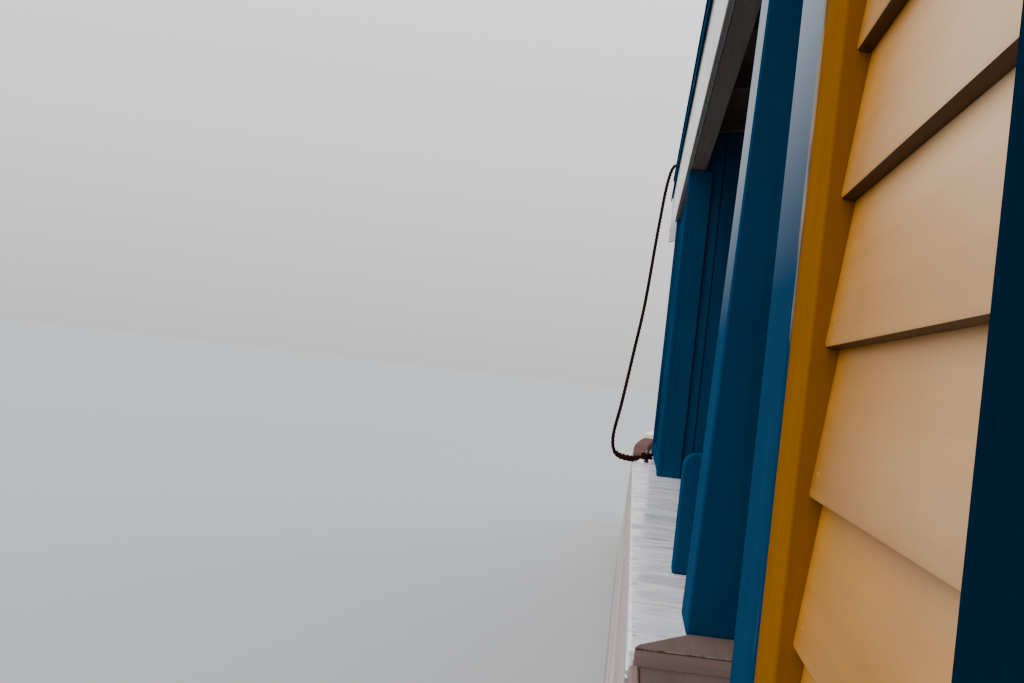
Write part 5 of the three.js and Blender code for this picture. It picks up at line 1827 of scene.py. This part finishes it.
class CANALBOAT_OT_steering(Builder, bpy.types.Operator):
    """Build the stern post, and the rudder and tiller that turn on it"""

    bl_idname = "canal_boat.steering"
    bl_label = "Rudder and tiller"

    def execute(self, context):
        softened("stern_post", "timber_upright", 0.005)
        self.rudder()
        self.tiller()
        return {"FINISHED"}

    def rudder(self):
        """The blade, with iron straps bolted to both its faces."""
        softened("rudder", "timber_upright", 0.006, body="steering")
        half, high, thick = BLADE["half"], 0.055, 0.007
        reach = (BLADE["end"] + 0.06, STOCK["x"] - 0.05)
        straps, bolts = Shape(), []
        for z in (0.62, 0.18):
            for _, side in SIDES:
                straps.side_box(side, reach, (half, half + thick), (z, z + high))
                bolts += [((x, side * (half + 0.009), z + high / 2), (0, side, 0))
                          for x in (-12.95, -12.7, -12.45, -12.2)]
        make("rudder_straps", straps, "iron", body="steering", bevel=0.002)
        heads("rudder_bolts", bolts, self.sizes.bolt, 0.007, "iron", 6, 0.92, body="steering")

    def tiller(self):
        """The tiller, with two iron bands where it meets the stock, and the stock's cap."""
        x, low, high = STOCK["x"], TILLER["bottom"], TILLER["bottom"] + TILLER["depth"]
        softened("tiller", "timber", 0.014, 3, "steering")
        band, sunk, proud = Shape(), -0.001, 0.004
        for a, wide in ((x + 0.13, 0.0585), (x + 0.2, 0.037)):
            b = a + 0.03
            rings = [
                [(v, -w, low - t), (v, w, low - t), (v, w, high + t), (v, -w, high + t)]
                for v, w, t in ((a, wide, sunk), (a, wide + proud, proud), (b, wide + 0.002, proud),
                                (b, wide - 0.002, sunk))
            ]
            band.loft(rings, closed=True)
        make("tiller_bands", band, "iron", body="steering", sharp=30)
        cap = [(x, 0.0, STOCK["top"] + rise) for rise in (-0.004, 0.004, 0.012)]
        make("stock_cap", Shape().tube(cap, [0.056, 0.054, 0.03], 28), "iron", body="steering",
             sharp=50)


OPERATORS = (
    CANALBOAT_OT_stage,
    CANALBOAT_OT_rope,
    CANALBOAT_OT_hull,
    CANALBOAT_OT_decks,
    CANALBOAT_OT_gunwale,
    CANALBOAT_OT_floor,
    CANALBOAT_OT_cabin_sides,
    CANALBOAT_OT_posts,
    CANALBOAT_OT_roof,
    CANALBOAT_OT_doors,
    CANALBOAT_OT_benches,
    CANALBOAT_OT_fittings,
    CANALBOAT_OT_steering,
)


class CANALBOAT_PT_panel(bpy.types.Panel):
    """Sizes, colours and the steps that dress the boat"""

    bl_idname = "CANALBOAT_PT_panel"
    bl_label = "Canal boat"
    bl_space_type = "VIEW_3D"
    bl_region_type = "UI"
    bl_category = "Canal boat"

    def draw(self, context):
        layout = self.layout
        for title, group in (
            ("Sizes", context.scene.canal_boat_sizes),
            ("Colours", context.scene.canal_boat_colours),
        ):
            column = layout.box().column()
            column.label(text=title)
            for name in type(group).__annotations__:
                column.prop(group, name)
        for operator in OPERATORS:
            layout.operator(operator.bl_idname)


CLASSES = (CanalBoatSizes, CanalBoatColours, *OPERATORS, CANALBOAT_PT_panel)


def register():
    for item in CLASSES:
        bpy.utils.register_class(item)
    bpy.types.Scene.canal_boat_sizes = PointerProperty(type=CanalBoatSizes)
    bpy.types.Scene.canal_boat_colours = PointerProperty(type=CanalBoatColours)


def unregister():
    del bpy.types.Scene.canal_boat_colours
    del bpy.types.Scene.canal_boat_sizes
    for item in reversed(CLASSES):
        bpy.utils.unregister_class(item)


def main():
    register()
    for operator in OPERATORS:
        group, name = operator.bl_idname.split(".")
        getattr(getattr(bpy.ops, group), name)()
    bpy.context.view_layer.update()


if __name__ == "__main__":
    main()
